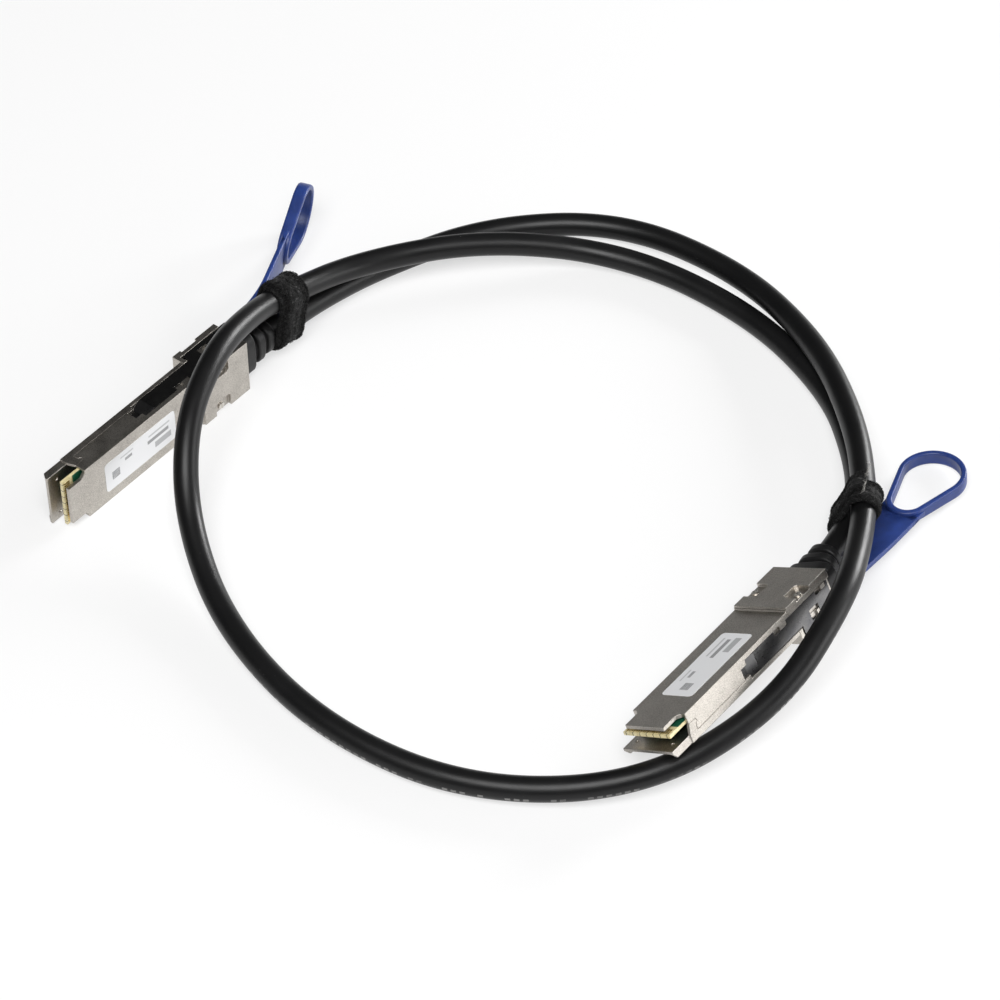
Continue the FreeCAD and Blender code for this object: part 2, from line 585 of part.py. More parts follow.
def build_contact_pads(end):
    """Gold contacts in one row on each face of the card, as separate flat solids."""
    body = new_body("contact_pads_" + end)
    body.AllowCompound = True
    pad_plan = rectangle("size.pad_start", "size.pad_start + size.pad_length",
                         "-(%s) - size.pad_width / 2" % FIRST_PAD,
                         "-(%s) + size.pad_width / 2" % FIRST_PAD)
    pad = add_slab(body, "contact_" + end, [pad_plan],
                   "-size.card_top", "-size.card_top + size.pad_thickness")
    under = "-size.card_top - size.card_thickness"
    lower = add_slab(body, "lower_contact_" + end, [pad_plan],
                     under + " - size.pad_thickness", under)
    row = body.newObject("PartDesign::LinearPattern", "contact_row_" + end)
    row.Originals = [pad, lower]
    row.Direction = (pad.Profile[0], ["V_Axis"])
    row.Mode = "Spacing"
    row.setExpression("Offset", "2 * (%s) / (size.pad_count - 1)" % FIRST_PAD)
    row.setExpression("Occurrences", "size.pad_count")
    body.Tip = row
    doc.recompute()
    return body


def build_twinax_leads(end):
    """Insulated pairs that run from both faces of the card into the cable clamp."""
    axis_z = -number("size.cable_axis_depth")
    radius = number("size.lead_radius")
    start = number("size.lead_start")
    finish = number("size.shell_length - size.crimp_length")
    outermost = number(LEAD_SIDE + " - size.lead_margin")
    count = int(number("size.lead_count"))
    leads = []
    card_middle = -number("size.card_top + size.card_thickness / 2")
    for side in (1, -1):
        for index in range(count):
            across = outermost * (2 * index / (count - 1) - 1)
            begin = Vector(start, across, card_middle + side * radius)
            stop = Vector(finish, across * number("size.lead_converge"),
                          axis_z + side * radius)
            ends = [Part.Wire(Part.makeCircle(radius, point, Vector(1, 0, 0)))
                    for point in (begin, stop)]
            leads.append(Part.makeLoft(ends, True, True))
    return add_shape("twinax_leads_" + end, Part.makeCompound(leads), plug_placement(end))


def build_cable_clamp(end):
    """Crimped ring over the cable end, seated in the bore of the two shells."""
    ring = doc.addObject("Part::Cut", "cable_clamp_" + end)
    ring.Label = "cable_clamp_" + end
    outer = doc.addObject("Part::Cylinder", "clamp_body_" + end)
    inner = doc.addObject("Part::Cylinder", "clamp_hole_" + end)
    for cylinder, radius in ((outer, "size.clamp_outer"), (inner, "size.clamp_inner")):
        cylinder.setExpression("Radius", radius)
        cylinder.setExpression("Height", "size.crimp_length")
        cylinder.setExpression("Placement.Base.x", "size.shell_length - size.crimp_length")
        cylinder.setExpression("Placement.Base.z", "-size.cable_axis_depth")
        cylinder.Placement.Rotation = FreeCAD.Rotation(Vector(0, 1, 0), 90)
    ring.Base = outer
    ring.Tool = inner
    return ring


# ---- screws and label ------------------------------------------------------------------------

def build_shell_screws(end):
    """Two slotted screws that sit on the floor of the recesses."""
    body = new_body("shell_screws_" + end)
    body.AllowCompound = True
    sides = (SCREW_Y, "-(%s)" % SCREW_Y)
    for name, radius, low, high in (
            ("shanks", "size.screw_shank_radius", "-size.screw_shank", "0"),
            ("heads", "size.screw_head_radius", "0", "size.screw_head")):
        sketch = new_sketch(body, "%s_sketch_%s" % (name, end), "XY_Plane", low)
        for side in sides:
            draw_circle(sketch, SCREW_X, side, radius)
        pad = body.newObject("PartDesign::Pad", "%s_%s" % (name, end))
        pad.Profile = sketch
        pad.setExpression("Length", "(%s) - (%s)" % (high, low))
        doc.recompute()
    slots = []
    for side in sides:
        slots.append(rectangle(SCREW_X + " - size.screw_slot / 2",
                               SCREW_X + " + size.screw_slot / 2",
                               side + " - size.screw_head_radius",
                               side + " + size.screw_head_radius"))
    cut_slab(body, "screw_slots_" + end, slots,
             "size.screw_head - size.screw_slot_depth", "size.screw_head")
    return body


def build_label(end):
    """Thin plate with rounded corners stuck to the labelled face."""
    body = new_body("label_" + end)
    middle = "-size.label_offset"
    plan = rectangle("size.label_start", "size.label_start + size.label_length",
                     middle + " - size.label_width / 2", middle + " + size.label_width / 2")
    pad = add_slab(body, "label_plate_" + end, [plan], "0", "size.label_thickness")
    upright = [name for name in edge_names(pad.Shape)
               if is_upright(pad.Shape.getElement(name))]
    rounds = body.newObject("PartDesign::Fillet", "label_corners_" + end)
    rounds.Base = (pad, upright)
    rounds.setExpression("Radius", "size.label_corner")
    doc.recompute()
    return body


def edge_names(shape):
    return ["Edge%d" % index for index in range(1, len(shape.Edges) + 1)]


def is_upright(edge):
    """True for an edge along Z."""
    low, high = edge.Vertexes[0].Point, edge.Vertexes[-1].Point
    return math.hypot(low.x - high.x, low.y - high.y) < abs(low.z - high.z) / 2


# ---- strain relief: ribbed moulding that bends with the cable --------------------------------

def oval(centre, heading, across, width, height):
    """A closed stadium section square to a heading, wide along a second direction."""
    rise = heading.cross(across).normalize()
    side = rise.cross(heading).normalize()
    radius = height / 2
    flat = side * (width / 2 - radius)
    lift = rise * radius
    left, right = centre + flat, centre - flat
    outward = side * radius
    return Part.Wire([
        Part.LineSegment(right + lift, left + lift).toShape(),
        Part.Arc(left + lift, left + outward, left - lift).toShape(),
        Part.LineSegment(left - lift, right - lift).toShape(),
        Part.Arc(right - lift, right - outward, right + lift).toShape(),
    ])


def relief_line(end, share):
    """Point and heading at a share of the relief's bent centre line, in the plug's frame."""
    length = number("size.relief_length")
    start = Vector(number("size.shell_length"), 0, -number("size.cable_axis_depth"))
    finish = start + Vector(length, end_size(end, "relief_end_y"), end_size(end, "relief_end_z"))
    start_pull = Vector(length, 0, 0)
    end_pull = relief_heading(end) * length
    square, cube = share ** 2, share ** 3
    point = (start * (2 * cube - 3 * square + 1) + start_pull * (cube - 2 * square + share)
             + finish * (3 * square - 2 * cube) + end_pull * (cube - square))
    slope = (start * (6 * square - 6 * share) + start_pull * (3 * square - 4 * share + 1)
             + finish * (6 * share - 6 * square) + end_pull * (3 * square - 2 * share))
    return point, slope.normalize()


def relief_heading(end):
    """Heading of the relief's end face in the plug's frame: along the cable's first run."""
    neighbour = CABLE_ROUTE[0] if end == "a" else CABLE_ROUTE[-1]
    placement = plug_placement(end)
    local = placement.inverse().multVec(Vector(*neighbour))
    return (local - relief_end(end)).normalize()


def relief_end(end):
    """Centre of the relief's end face in the plug's frame."""
    return Vector(number("size.shell_length + size.relief_length"),
                  end_size(end, "relief_end_y"),
                  end_size(end, "relief_end_z") - number("size.cable_axis_depth"))


def build_strain_relief(end):
    """A slim core with thick ribs round it, each rib chamfered front and back."""
    count = int(number("size.relief_rings"))
    rib_share = number("size.relief_ring / size.relief_length")
    pitch = (1 - rib_share) / (count - 1)
    chamfer = number("size.relief_chamfer")
    edge = chamfer / number("size.relief_length")
    neck = number("size.relief_neck")
    neck_side = number("size.relief_neck_side")
    ribs = []
    necks = []
    for index in range(count):
        taper = (index - 1) / (count - 2)
        width = number("size.relief_mid_width") * (1 - taper)
        width += number("size.relief_end_width") * taper
        height = number("size.relief_ring_height")
        if index == 0:
            width = number("size.shell_width - 2 * size.relief_inset")
            height = number("size.relief_front_height")
        first = index * pitch
        last = first + rib_share
        sections = []
        for share, inset in ((first, chamfer), (first + edge, 0), (last - edge, 0),
                             (last, chamfer)):
            point, heading = relief_line(end, share)
            sections.append(oval(point, heading, Vector(0, 1, 0),
                                 width - 2 * inset, height - 2 * inset))
        ribs.append(Part.makeLoft(sections, True, True))
        if index < count - 1:
            following = first + pitch
            ends = []
            for share in (last - edge, following + edge):
                point, heading = relief_line(end, share)
                ends.append(oval(point, heading, Vector(0, 1, 0),
                                 min(width, number("size.relief_mid_width")) - 2 * neck_side,
                                 height - 2 * neck))
            necks.append(Part.makeLoft(ends, True, True))
    solid = ribs[0].multiFuse(ribs[1:] + necks).removeSplitter()
    return add_shape("strain_relief_" + end, solid, plug_placement(end))


# ---- cable and ties --------------------------------------------------------------------------

def add_shape(name, shape, placement=None):
    """A finished shape as an object of the document."""
    item = doc.addObject("Part::Feature", name)
    item.Label = name
    item.Shape = shape
    if placement:
        item.Placement = placement
    return item


def cable_points():
    """The whole route, from the end of one strain relief to the end of the other."""
    ends = [plug_placement(end).multVec(relief_end(end)) for end in ("a", "b")]
    return [ends[0]] + [Vector(*point) for point in CABLE_ROUTE] + [ends[1]]


def cable_path(points):
    """Straight runs joined by arcs as large as the shorter run beside each point allows."""
    edges = []
    reached = points[0]
    radii = []
    for before, corner, after in zip(points, points[1:], points[2:]):
        incoming = (before - corner)
        outgoing = (after - corner)
        setback = number("size.bend_share") * min(incoming.Length, outgoing.Length)
        turn = math.pi - incoming.getAngle(outgoing)
        radii.append(setback / math.tan(turn / 2))
        start = corner + incoming.normalize() * setback
        finish = corner + outgoing.normalize() * setback
        towards_centre = (incoming + outgoing).normalize()
        to_centre = radii[-1] / math.cos(turn / 2)
        middle = corner + towards_centre * (to_centre - radii[-1])
        edges.append(Part.LineSegment(reached, start).toShape())
        edges.append(Part.Arc(start, middle, finish).toShape())
        reached = finish
    edges.append(Part.LineSegment(reached, points[-1]).toShape())
    print("cable arc radii, mm:", " ".join("%.0f" % radius for radius in radii))
    return edges


def build_cable(edges):
    """Round jacket swept along the route, with its volume compared with its length."""
    radius = number("size.cable_radius")
    path = Part.Wire(edges)
    start = edges[0].valueAt(edges[0].FirstParameter)
    heading = edges[0].tangentAt(edges[0].FirstParameter)
    section = Part.Wire(Part.makeCircle(radius, start, heading))
    tube = path.makePipeShell([section], True, True)
    expected = math.pi * radius ** 2 * path.Length
    print("cable length %.1f mm, volume ratio %.4f" % (path.Length, tube.Volume / expected))
    return add_shape("cable", tube)


def nearest_on(edges, spot):
    """Point and heading where a row of edges passes a vertical line."""
    top = max(point[2] for point in CABLE_ROUTE)
    line = Part.makeLine(Vector(spot[0], spot[1], 0), Vector(spot[0], spot[1], top))
    best = min((edge.distToShape(line)[0], index) for index, edge in enumerate(edges))
    edge = edges[best[1]]
    point = edge.distToShape(line)[1][0][0]
    return point, edge.tangentAt(edge.Curve.parameter(point))


def build_tie(name, edges):
    """Band wrapped round the two strands that pass each other, closed by its own overlap."""
    spot = TIE_PLACES[name]
    half = len(edges) // 2
    (first, first_heading), (second, second_heading) = (
        nearest_on(edges[:half], spot), nearest_on(edges[half:], spot))
    if first_heading.dot(second_heading) < 0:
        second_heading = second_heading.negative()
    heading = (first_heading + second_heading).normalize()
    spread = second - first
    spread = (spread - heading * spread.dot(heading)).normalize()
    middle = (first + second) / 2
    length = number("size.tie_length")
    inner = number("size.cable_radius + size.tie_gap")
    outer = inner + number("size.tie_thickness")
    begin = middle - heading * (length / 2)
    solids = []
    for radius in (outer, inner):
        section = oval(begin, heading, spread, (second - first).Length + 2 * radius,
                       2 * radius)
        solids.append(Part.Face(section).extrude(heading * length))
    return add_shape(name, solids[0].cut(solids[1]))


# ---- assembly --------------------------------------------------------------------------------

def build_plug(end):
    """Every piece of one plug, laid where the plug lies."""
    pieces = [
        build_label_shell(end), build_tab_shell(end), build_paddle_card(end),
        build_contact_pads(end), build_latch_slider(end), build_pull_tab(end),
        build_shell_screws(end), build_label(end), build_cable_clamp(end),
    ]
    for piece in pieces:
        piece.Placement = plug_placement(end)
    return pieces + [build_twinax_leads(end), build_strain_relief(end)]


def check(pieces):
    """Stop if any object failed or any piece has no valid shape."""
    for item in doc.Objects:
        if "Invalid" in item.State or "Error" in item.State:
            raise RuntimeError(item.Name + " failed: " + str(item.State))
    for piece in pieces:
        if piece.Shape.isNull() or not piece.Shape.isValid():
            raise RuntimeError(piece.Label + " has no valid shape")


def write(pieces):
    """One STEP file for each piece, named after it."""
    os.makedirs("parts", exist_ok=True)
    for piece in pieces:
        piece.Shape.exportStep("parts/%s.step" % piece.Label)


fill_sheet()
parts = build_plug("a") + build_plug("b")
route = cable_path(cable_points())
parts.append(build_cable(route))
parts += [build_tie(name, route) for name in sorted(TIE_PLACES)]
doc.recompute()
check(parts)
write(parts)
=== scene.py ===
import bmesh
import bpy
import math
import numpy as np
from mathutils import Matrix, Vector


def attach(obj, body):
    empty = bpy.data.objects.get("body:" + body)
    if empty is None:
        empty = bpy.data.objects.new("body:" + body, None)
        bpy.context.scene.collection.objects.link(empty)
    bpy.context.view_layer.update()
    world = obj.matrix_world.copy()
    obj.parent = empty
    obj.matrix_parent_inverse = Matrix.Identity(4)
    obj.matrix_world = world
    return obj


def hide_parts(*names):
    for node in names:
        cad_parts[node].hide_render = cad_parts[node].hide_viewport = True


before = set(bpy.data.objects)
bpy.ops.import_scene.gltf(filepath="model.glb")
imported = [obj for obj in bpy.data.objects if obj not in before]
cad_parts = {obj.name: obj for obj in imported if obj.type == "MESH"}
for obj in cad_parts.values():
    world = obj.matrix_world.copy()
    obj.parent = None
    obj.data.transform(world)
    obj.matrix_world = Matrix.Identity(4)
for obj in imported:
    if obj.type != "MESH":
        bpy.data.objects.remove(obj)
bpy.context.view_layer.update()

# ---- Camera ------------------------------------------------------------------------------
# A long lens looks down on the coil from in front, about as high as it is far away, so the
# coil shows as an ellipse and both plugs keep their true proportions.

CAMERA_PLACE = (-0.0027, -0.7403, 0.75528)
CAMERA_RIGHT = (0.99995, -0.00747, -0.00727)
CAMERA_UP = (0.01042, 0.71664, 0.69737)
CAMERA_LENS = 134.64
SENSOR_WIDTH = 36

lens = bpy.data.cameras.new("camera")
lens.sensor_width = SENSOR_WIDTH
lens.lens = CAMERA_LENS
camera = bpy.data.objects.new("camera", lens)
bpy.context.collection.objects.link(camera)
right = Vector(CAMERA_RIGHT).normalized()
back = right.cross(Vector(CAMERA_UP)).normalized()
turn = Matrix((right, back.cross(right), back)).transposed()
camera.matrix_world = Matrix.LocRotScale(Vector(CAMERA_PLACE), turn.to_quaternion(), None)
bpy.context.scene.camera = camera
bpy.context.scene.view_settings.view_transform = "Standard"

# ---- Cable -------------------------------------------------------------------------------
# Eight shielded pairs under one round jacket of satin black PVC, extruded in one length.
# It leaves one plug's strain relief, goes round the coil about one and a half times and
# enters the other plug's strain relief.

CABLE_RADIUS = 0.00355
CABLE_SIDES = 40
JACKET_RIPPLE = 0.00002
RIPPLE_TRAVEL = 0.006
SPLINE_STEPS = 24
# Nose of each plug, and its yaw, pitch and roll in degrees.
PLUG_PLACES = {
    "a": ((-0.12197, -0.01532, 0.00925), (50.82, 0.0, 90.0)),
    "b": ((0.03401, -0.10575, 0.01835), (52.52, 2.80, -29.65)),
}
# Where the cable enters each relief and where it bends off, in the plug's own frame.
RELIEF_ENDS = {"a": (0.08645, -0.0007, -0.00425), "b": (0.08645, 0.0014, -0.0036)}
CABLE_LEADS = {"a": (0.09215, -0.0018, -0.00425), "b": (0.0930, 0.0014, -0.0029)}
CABLE_ROUTE = [
    (-0.0550, 0.0735, 0.0056), (-0.0360, 0.0900, 0.0036), (-0.0055, 0.1060, 0.0036),
    (0.0350, 0.1080, 0.0036), (0.0700, 0.0825, 0.0055), (0.0900, 0.0455, 0.0105),
    (0.0980, 0.0105, 0.0125), (0.0985, -0.0165, 0.0135), (0.0955, -0.0390, 0.0175),
    (0.0885, -0.0650, 0.0215), (0.0690, -0.0940, 0.0115), (0.0330, -0.1160, 0.0060),
    (-0.0125, -0.1145, 0.0036), (-0.0510, -0.0920, 0.0036), (-0.0775, -0.0565, 0.0036),
    (-0.0895, -0.0220, 0.0095), (-0.0900, 0.0005, 0.0255), (-0.0825, 0.0240, 0.0310),
    (-0.0740, 0.0440, 0.0260), (-0.0655, 0.0615, 0.0175), (-0.0440, 0.0820, 0.0115),
    (-0.0060, 0.0925, 0.0110), (0.0365, 0.0930, 0.0036), (0.0720, 0.0665, 0.0036),
    (0.0930, 0.0335, 0.0036), (0.0985, 0.0045, 0.0036), (0.0970, -0.0150, 0.0050),
]
DUST_STRENGTH = 0.6
JACKET_BLACK = (0.0065, 0.0065, 0.0068, 1)
PRINT_GREY = (0.20, 0.195, 0.19, 1)
# Cells in a metre of cable, share of them left blank, share of a cell that its dash fills,
# and the print's place and half its height as shares of the way round.
PRINT_CELLS = 430.0
PRINT_GAPS = 0.30
PRINT_STROKE = 0.62
PRINT_MIDDLE = 0.53
PRINT_REACH = 0.024


def plug_turn(end):
    """Rotation of a plug's own frame: roll about X, then pitch about Y, then yaw about Z."""
    yaw, pitch, roll = PLUG_PLACES[end][1]
    return (Matrix.Rotation(math.radians(yaw), 3, "Z")
            @ Matrix.Rotation(math.radians(pitch), 3, "Y")
            @ Matrix.Rotation(math.radians(roll), 3, "X"))


def from_plug(end, points):
    """Points of a plug's own frame, turned and moved to where the plug lies."""
    turned = np.asarray(points, dtype=float) @ np.array(plug_turn(end)).T
    return turned + np.array(PLUG_PLACES[end][0])


def spline_points(name, corners):
    """Points along a smooth line drawn in by its corners: a NURBS curve of order 3."""
    curve = bpy.data.curves.new(name, "CURVE")
    curve.dimensions = "3D"
    curve.resolution_u = SPLINE_STEPS
    spline = curve.splines.new("NURBS")
    spline.points.add(len(corners) - 1)
    for point, corner in zip(spline.points, corners):
        point.co = (*corner, 1.0)
    spline.order_u = 3
    spline.use_endpoint_u = True
    line = bpy.data.objects.new(name, curve)
    bpy.context.collection.objects.link(line)
    bpy.context.view_layer.update()
    mesh = bpy.data.meshes.new_from_object(line.evaluated_get(
        bpy.context.evaluated_depsgraph_get()))
    flat = np.empty(len(mesh.vertices) * 3)
    mesh.vertices.foreach_get("co", flat)
    bpy.data.objects.remove(line)
    bpy.data.meshes.remove(mesh)
    return flat.reshape(-1, 3)


def along(points):
    """Distance travelled from the first point to each point of a line."""
    steps = np.linalg.norm(np.diff(points, axis=0), axis=1)
    return np.concatenate([[0], np.cumsum(steps)])


def unit(vectors):
    """Vectors scaled to length 1."""
    return vectors / np.linalg.norm(vectors, axis=-1, keepdims=True)


def swept(name, rows, closed=False, u=None):
    """A skin over rings of points. Ring i, point j joins ring i, point j + 1 and ring i + 1;
    each ring is closed, and the first and last ring are capped or joined. UV: U runs along
    the rings and V once round each ring."""
    count, around = rows.shape[:2]
    last = count if closed else count - 1
    i, j = np.meshgrid(np.arange(last), np.arange(around), indexing="ij")
    k = (j + 1) % around
    n = (i + 1) % count
    quads = np.stack([i * around + j, i * around + k, n * around + k, n * around + j], -1)
    faces = quads.reshape(-1, 4).tolist()
    if not closed:
        faces += [list(range(around))[::-1],
                  list(range((count - 1) * around, count * around))]
    mesh = bpy.data.meshes.new(name)
    mesh.from_pydata(rows.reshape(-1, 3).tolist(), [], faces)
    u = np.linspace(0, 1, last + 1) if u is None else u
    uv = np.zeros((len(mesh.loops), 2))
    corners = np.stack([
        np.stack([u[i], j / around], -1), np.stack([u[i], (j + 1) / around], -1),
        np.stack([u[i + 1], (j + 1) / around], -1), np.stack([u[i + 1], j / around], -1)], -2)
    uv[:corners.size // 2] = corners.reshape(-1, 2)
    mesh.uv_layers.new(name="UVMap").data.foreach_set("uv", uv.ravel())
    return placed(name, mesh)


def placed(name, mesh):
    """An object at the origin for a mesh, with its faces turned outwards and smooth."""
    shape = bmesh.new()
    shape.from_mesh(mesh)
    bmesh.ops.recalc_face_normals(shape, faces=shape.faces)
    shape.to_mesh(mesh)
    shape.free()
    mesh.shade_smooth()
    piece = bpy.data.objects.new(name, mesh)
    bpy.context.collection.objects.link(piece)
    return piece


class Nodes:
    """The node tree of a material or a world, with short ways to add nodes and join them.
    A source is a constant or another node's output."""

    def __init__(self, owner):
        owner.use_nodes = True
        self.owner = owner
        self.tree = owner.node_tree

    def own(self, kind):
        """The node of a kind that the tree came with."""
        return next(node for node in self.tree.nodes if node.type == kind)

    def feed(self, socket, source):
        """Join an output to a socket, or set the socket to a constant."""
        if isinstance(source, bpy.types.NodeSocket):
            self.tree.links.new(source, socket)
        else:
            socket.default_value = source

    def add(self, kind, *sources, **settings):
        """A new node: settings name its inputs or properties, and sources feed its first
        inputs in their order."""
        node = self.tree.nodes.new(kind)
        for key, value in settings.items():
            if key in node.inputs:
                node.inputs[key].default_value = value
            else:
                setattr(node, key, value)
        for socket, source in zip(node.inputs, sources):
            self.feed(socket, source)
        return node

    def place(self, kind="Object"):
        """Where a point lies, in the piece's own metres unless another kind is named."""
        return self.add("ShaderNodeTexCoord").outputs[kind]

    def noise(self, scale, detail, roughness=0.5):
        """Soft noise through the piece: waves in a metre, octaves and their roughness."""
        return self.add("ShaderNodeTexNoise", self.place(), Scale=scale, Detail=detail,
                        Roughness=roughness).outputs[0]

    def cells(self, scale):
        """Distance to the nearest of many scattered points."""
        return self.add("ShaderNodeTexVoronoi", self.place(), Scale=scale,
                        feature="F1").outputs["Distance"]

    def math(self, operation, *sources):
        """The result of one step of arithmetic."""
        return self.add("ShaderNodeMath", *sources, operation=operation).outputs[0]

    def mix(self, factor, first, second):
        """A colour between two colours."""
        node = self.add("ShaderNodeMix", data_type="RGBA")
        self.feed(node.inputs["Factor"], factor)
        self.feed(node.inputs["A"], first)
        self.feed(node.inputs["B"], second)
        return node.outputs["Result"]

    def ramp(self, source, *stops):
        """A colour ramp from (position, colour) stops; a grey may be one number."""
        node = self.add("ShaderNodeValToRGB", source)
        band = node.color_ramp
        while len(band.elements) < len(stops):
            band.elements.new(0.5)
        for element, (position, colour) in zip(band.elements, stops):
            element.position = position
            grey = isinstance(colour, (int, float))
            element.color = (colour, colour, colour, 1) if grey else (*colour, 1)
        return node.outputs[0]

    def bump(self, height, strength, distance):
        """Small relief that follows a height pattern."""
        node = self.add("ShaderNodeBump", Strength=strength, Distance=distance)
        self.feed(node.inputs["Height"], height)
        return node.outputs[0]

    def shade(self, sources):
        """Feed the shader's inputs by name, and return the material."""
        shader = self.own("BSDF_PRINCIPLED")
        for name, source in sources.items():
            self.feed(shader.inputs[name], source)
        return self.owner


def new_nodes(name):
    """The node tree of a new material."""
    return Nodes(bpy.data.materials.new(name))


def jacket_material():
    """Black PVC: fine grain, faint rub marks, dust specks where a cloud pattern is high, and
    a broken line of pale printed dashes. A dash fills the first part of each inked cell of
    the length, within a narrow band of the way round, and wears off by places."""
    nodes = new_nodes("jacket_pvc")
    grain = nodes.noise(scale=2600.0, detail=3.0)
    cloud = nodes.noise(scale=90.0, detail=4.0)
    speck = nodes.ramp(nodes.cells(scale=520.0), (0.045, 1.0), (0.075, 0.0))
    rare = nodes.ramp(cloud, (0.60, 0.0), (0.66, 1.0))
    dust = nodes.math("MULTIPLY", speck, rare)
    split = nodes.add("ShaderNodeSeparateXYZ", nodes.place("UV"))
    cell = nodes.math("MULTIPLY", split.outputs[0], PRINT_CELLS)
    chance = nodes.add("ShaderNodeTexWhiteNoise", noise_dimensions="1D")
    nodes.feed(chance.inputs["W"], nodes.math("FLOOR", cell))
    inked = nodes.math("GREATER_THAN", chance.outputs["Value"], PRINT_GAPS)
    stroke = nodes.math("LESS_THAN", nodes.math("FRACT", cell), PRINT_STROKE)
    offset = nodes.math("ABSOLUTE", nodes.math("SUBTRACT", split.outputs[1], PRINT_MIDDLE))
    band = nodes.math("LESS_THAN", offset, PRINT_REACH)
    dash = nodes.math("MULTIPLY", nodes.math("MULTIPLY", inked, stroke), band)
    worn = nodes.math("MULTIPLY", dash, nodes.ramp(cloud, (0.38, 0.1), (0.56, 1.0)))
    pale = nodes.math("MAXIMUM", worn, nodes.math("MULTIPLY", dust, DUST_STRENGTH))
    return nodes.shade({
        "Base Color": nodes.mix(pale, JACKET_BLACK, PRINT_GREY),
        "Roughness": nodes.ramp(cloud, (0.30, 0.34), (0.75, 0.44)),
        "Specular IOR Level": 0.30,
        "Normal": nodes.bump(grain, strength=0.12, distance=0.00006),
    })


relief_tips = {end: from_plug(end, RELIEF_ENDS[end]) for end in "ab"}
cable_leads = {end: from_plug(end, CABLE_LEADS[end]) for end in "ab"}
cable_line = spline_points("cable_line", [
    relief_tips["a"], cable_leads["a"], *CABLE_ROUTE, cable_leads["b"], relief_tips["b"]])
cable_heading = unit(np.gradient(cable_line, axis=0))
cable_side = unit(np.cross(cable_heading, (0, 0, 1)))
cable_lift = np.cross(cable_side, cable_heading)
cable_travel = along(cable_line)
round_angle = np.linspace(0, 2 * math.pi, CABLE_SIDES, endpoint=False)
ripple = np.sin(2 * round_angle[None, :] + cable_travel[:, None] / RIPPLE_TRAVEL)
jacket_radius = CABLE_RADIUS + JACKET_RIPPLE * (ripple - 1)
cable_rings = (cable_line[:, None]
               + cable_side[:, None] * (jacket_radius * np.cos(round_angle))[..., None]
               + cable_lift[:, None] * (jacket_radius * np.sin(round_angle))[..., None])
cable_jacket = swept("cable_jacket", cable_rings, u=cable_travel)
cable_jacket.data.materials.append(jacket_material())
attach(cable_jacket, "cable_body")
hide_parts("cable")

# ---- Cable ties --------------------------------------------------------------------------
# Two straps of black hook-and-loop fabric. Each goes between one and two times round two
# strands that lie side by side, and its end is pressed down on its own loop pile.

TIE_PLACES = {"tie_a": (-0.0668, 0.0592), "tie_b": (0.0960, -0.0215)}
TIE_WIDTH = 0.0092
TIE_THICKNESS = 0.0010
TIE_FIRST_LAYER = 0.0043
TIE_LAYER_STEP = 0.00090
# How many turns each makes, and how far round it begins, as a share of a turn.
TIE_TURNS = {"tie_a": 1.85, "tie_b": 1.34}
TIE_START = {"tie_a": 0.58, "tie_b": 0.36}
# How far each wanders along the strands: in each turn, from layer to layer and at its tail.
TIE_SLANT = {"tie_a": 0.0004, "tie_b": 0.0014}
TIE_CREEP = {"tie_a": 0.0020, "tie_b": -0.0006}
TIE_TAIL_SLANT = {"tie_a": 0.0, "tie_b": -0.0042}
TIE_STEPS = 420
TIE_SIDES = 44
TIE_SAG = 0.35
BAR_POWERS = (0.35, 0.6)
LAP_START = 0.86
TAIL_SWING = 0.40
# Share of a turn over which each end thins, and the thinnest share of the thickness.
LEAD_TAPER = (0.02, 0.3)
TAIL_TAPER = (0.05, 0.25)
# Waves of the width: share of it, radians in a turn and offset.
EDGE_WAVES = ((0.03, 23, 0), (0.02, 61, 1))
WEAVE_ROUGHNESS = 0.00004
TIE_SEEDS = {"tie_a": 3, "tie_b": 4}
PILE_COUNT = 6500
PILE_SIZES = (0.00025, 0.00060)
PILE_LEAN = 0.6
PILE_THREAD = 0.00005
FRINGE_COUNT = 46
FRINGE_REACH = (0.0010, 0.0034)
FRINGE_BOW = 0.25
FRINGE_CURL = 0.18
FRINGE_RISE = 0.28
FRINGE_LIFT = 0.0001
FRINGE_THREAD = 0.00004
TAIL_RINGS = 12
THREAD_POINTS = 5
# A direction that no thread is likely to follow.
THREAD_SLOPE = (0.31, 0.45, 0.84)


def strand_at(line, spot):
    """Where a strand passes nearest to a spot seen from above, and its heading there."""
    index = int(np.argmin(np.hypot(line[:, 0] - spot[0], line[:, 1] - spot[1])))
    heading = unit(line[index + 1] - line[index - 1])
    return line[index], heading


def tie_frame(name):
    """Middle of the two strands in a tie, their common heading, the direction from one to
    the other, the direction square to both, and half the distance between them."""
    half = len(cable_line) // 2
    first, ahead = strand_at(cable_line[:half], TIE_PLACES[name])
    second, astern = strand_at(cable_line[half:], TIE_PLACES[name])
    heading = unit(ahead + astern * np.sign(ahead @ astern))
    spread = second - first
    spread = spread - heading * (spread @ heading)
    across = unit(spread)
    square = np.cross(heading, across)
    return (first + second) / 2, heading, across, square, np.linalg.norm(spread) / 2


def oblong(share, reach, radius):
    """Points and outward directions at shares of the way round an oblong: two half circles
    of a radius, whose centres stand apart by twice the reach, joined by straight lines."""
    edge = 4 * reach + 2 * math.pi * radius
    way = (share % 1) * edge
    bend = math.pi * radius
    one = np.clip(way - reach, 0, bend)
    two = np.clip(way - reach - bend - 2 * reach, 0, bend)
    angle = math.pi / 2 - one / radius - two / radius
    slide = (np.clip(way, 0, reach) - np.clip(way - reach - bend, 0, 2 * reach)
             + np.clip(way - 3 * reach - 2 * bend, 0, reach))
    outward = np.stack([np.cos(angle), np.sin(angle)], -1)
    return np.stack([slide, np.zeros_like(slide)], -1) + outward * radius[:, None], outward


def signed_power(value, power):
    """The size of a value raised to a power, with the value's own sign. On a circle's cosine
    and sine, a power under 1 squares the circle off."""
    return np.sign(value) * np.abs(value) ** power


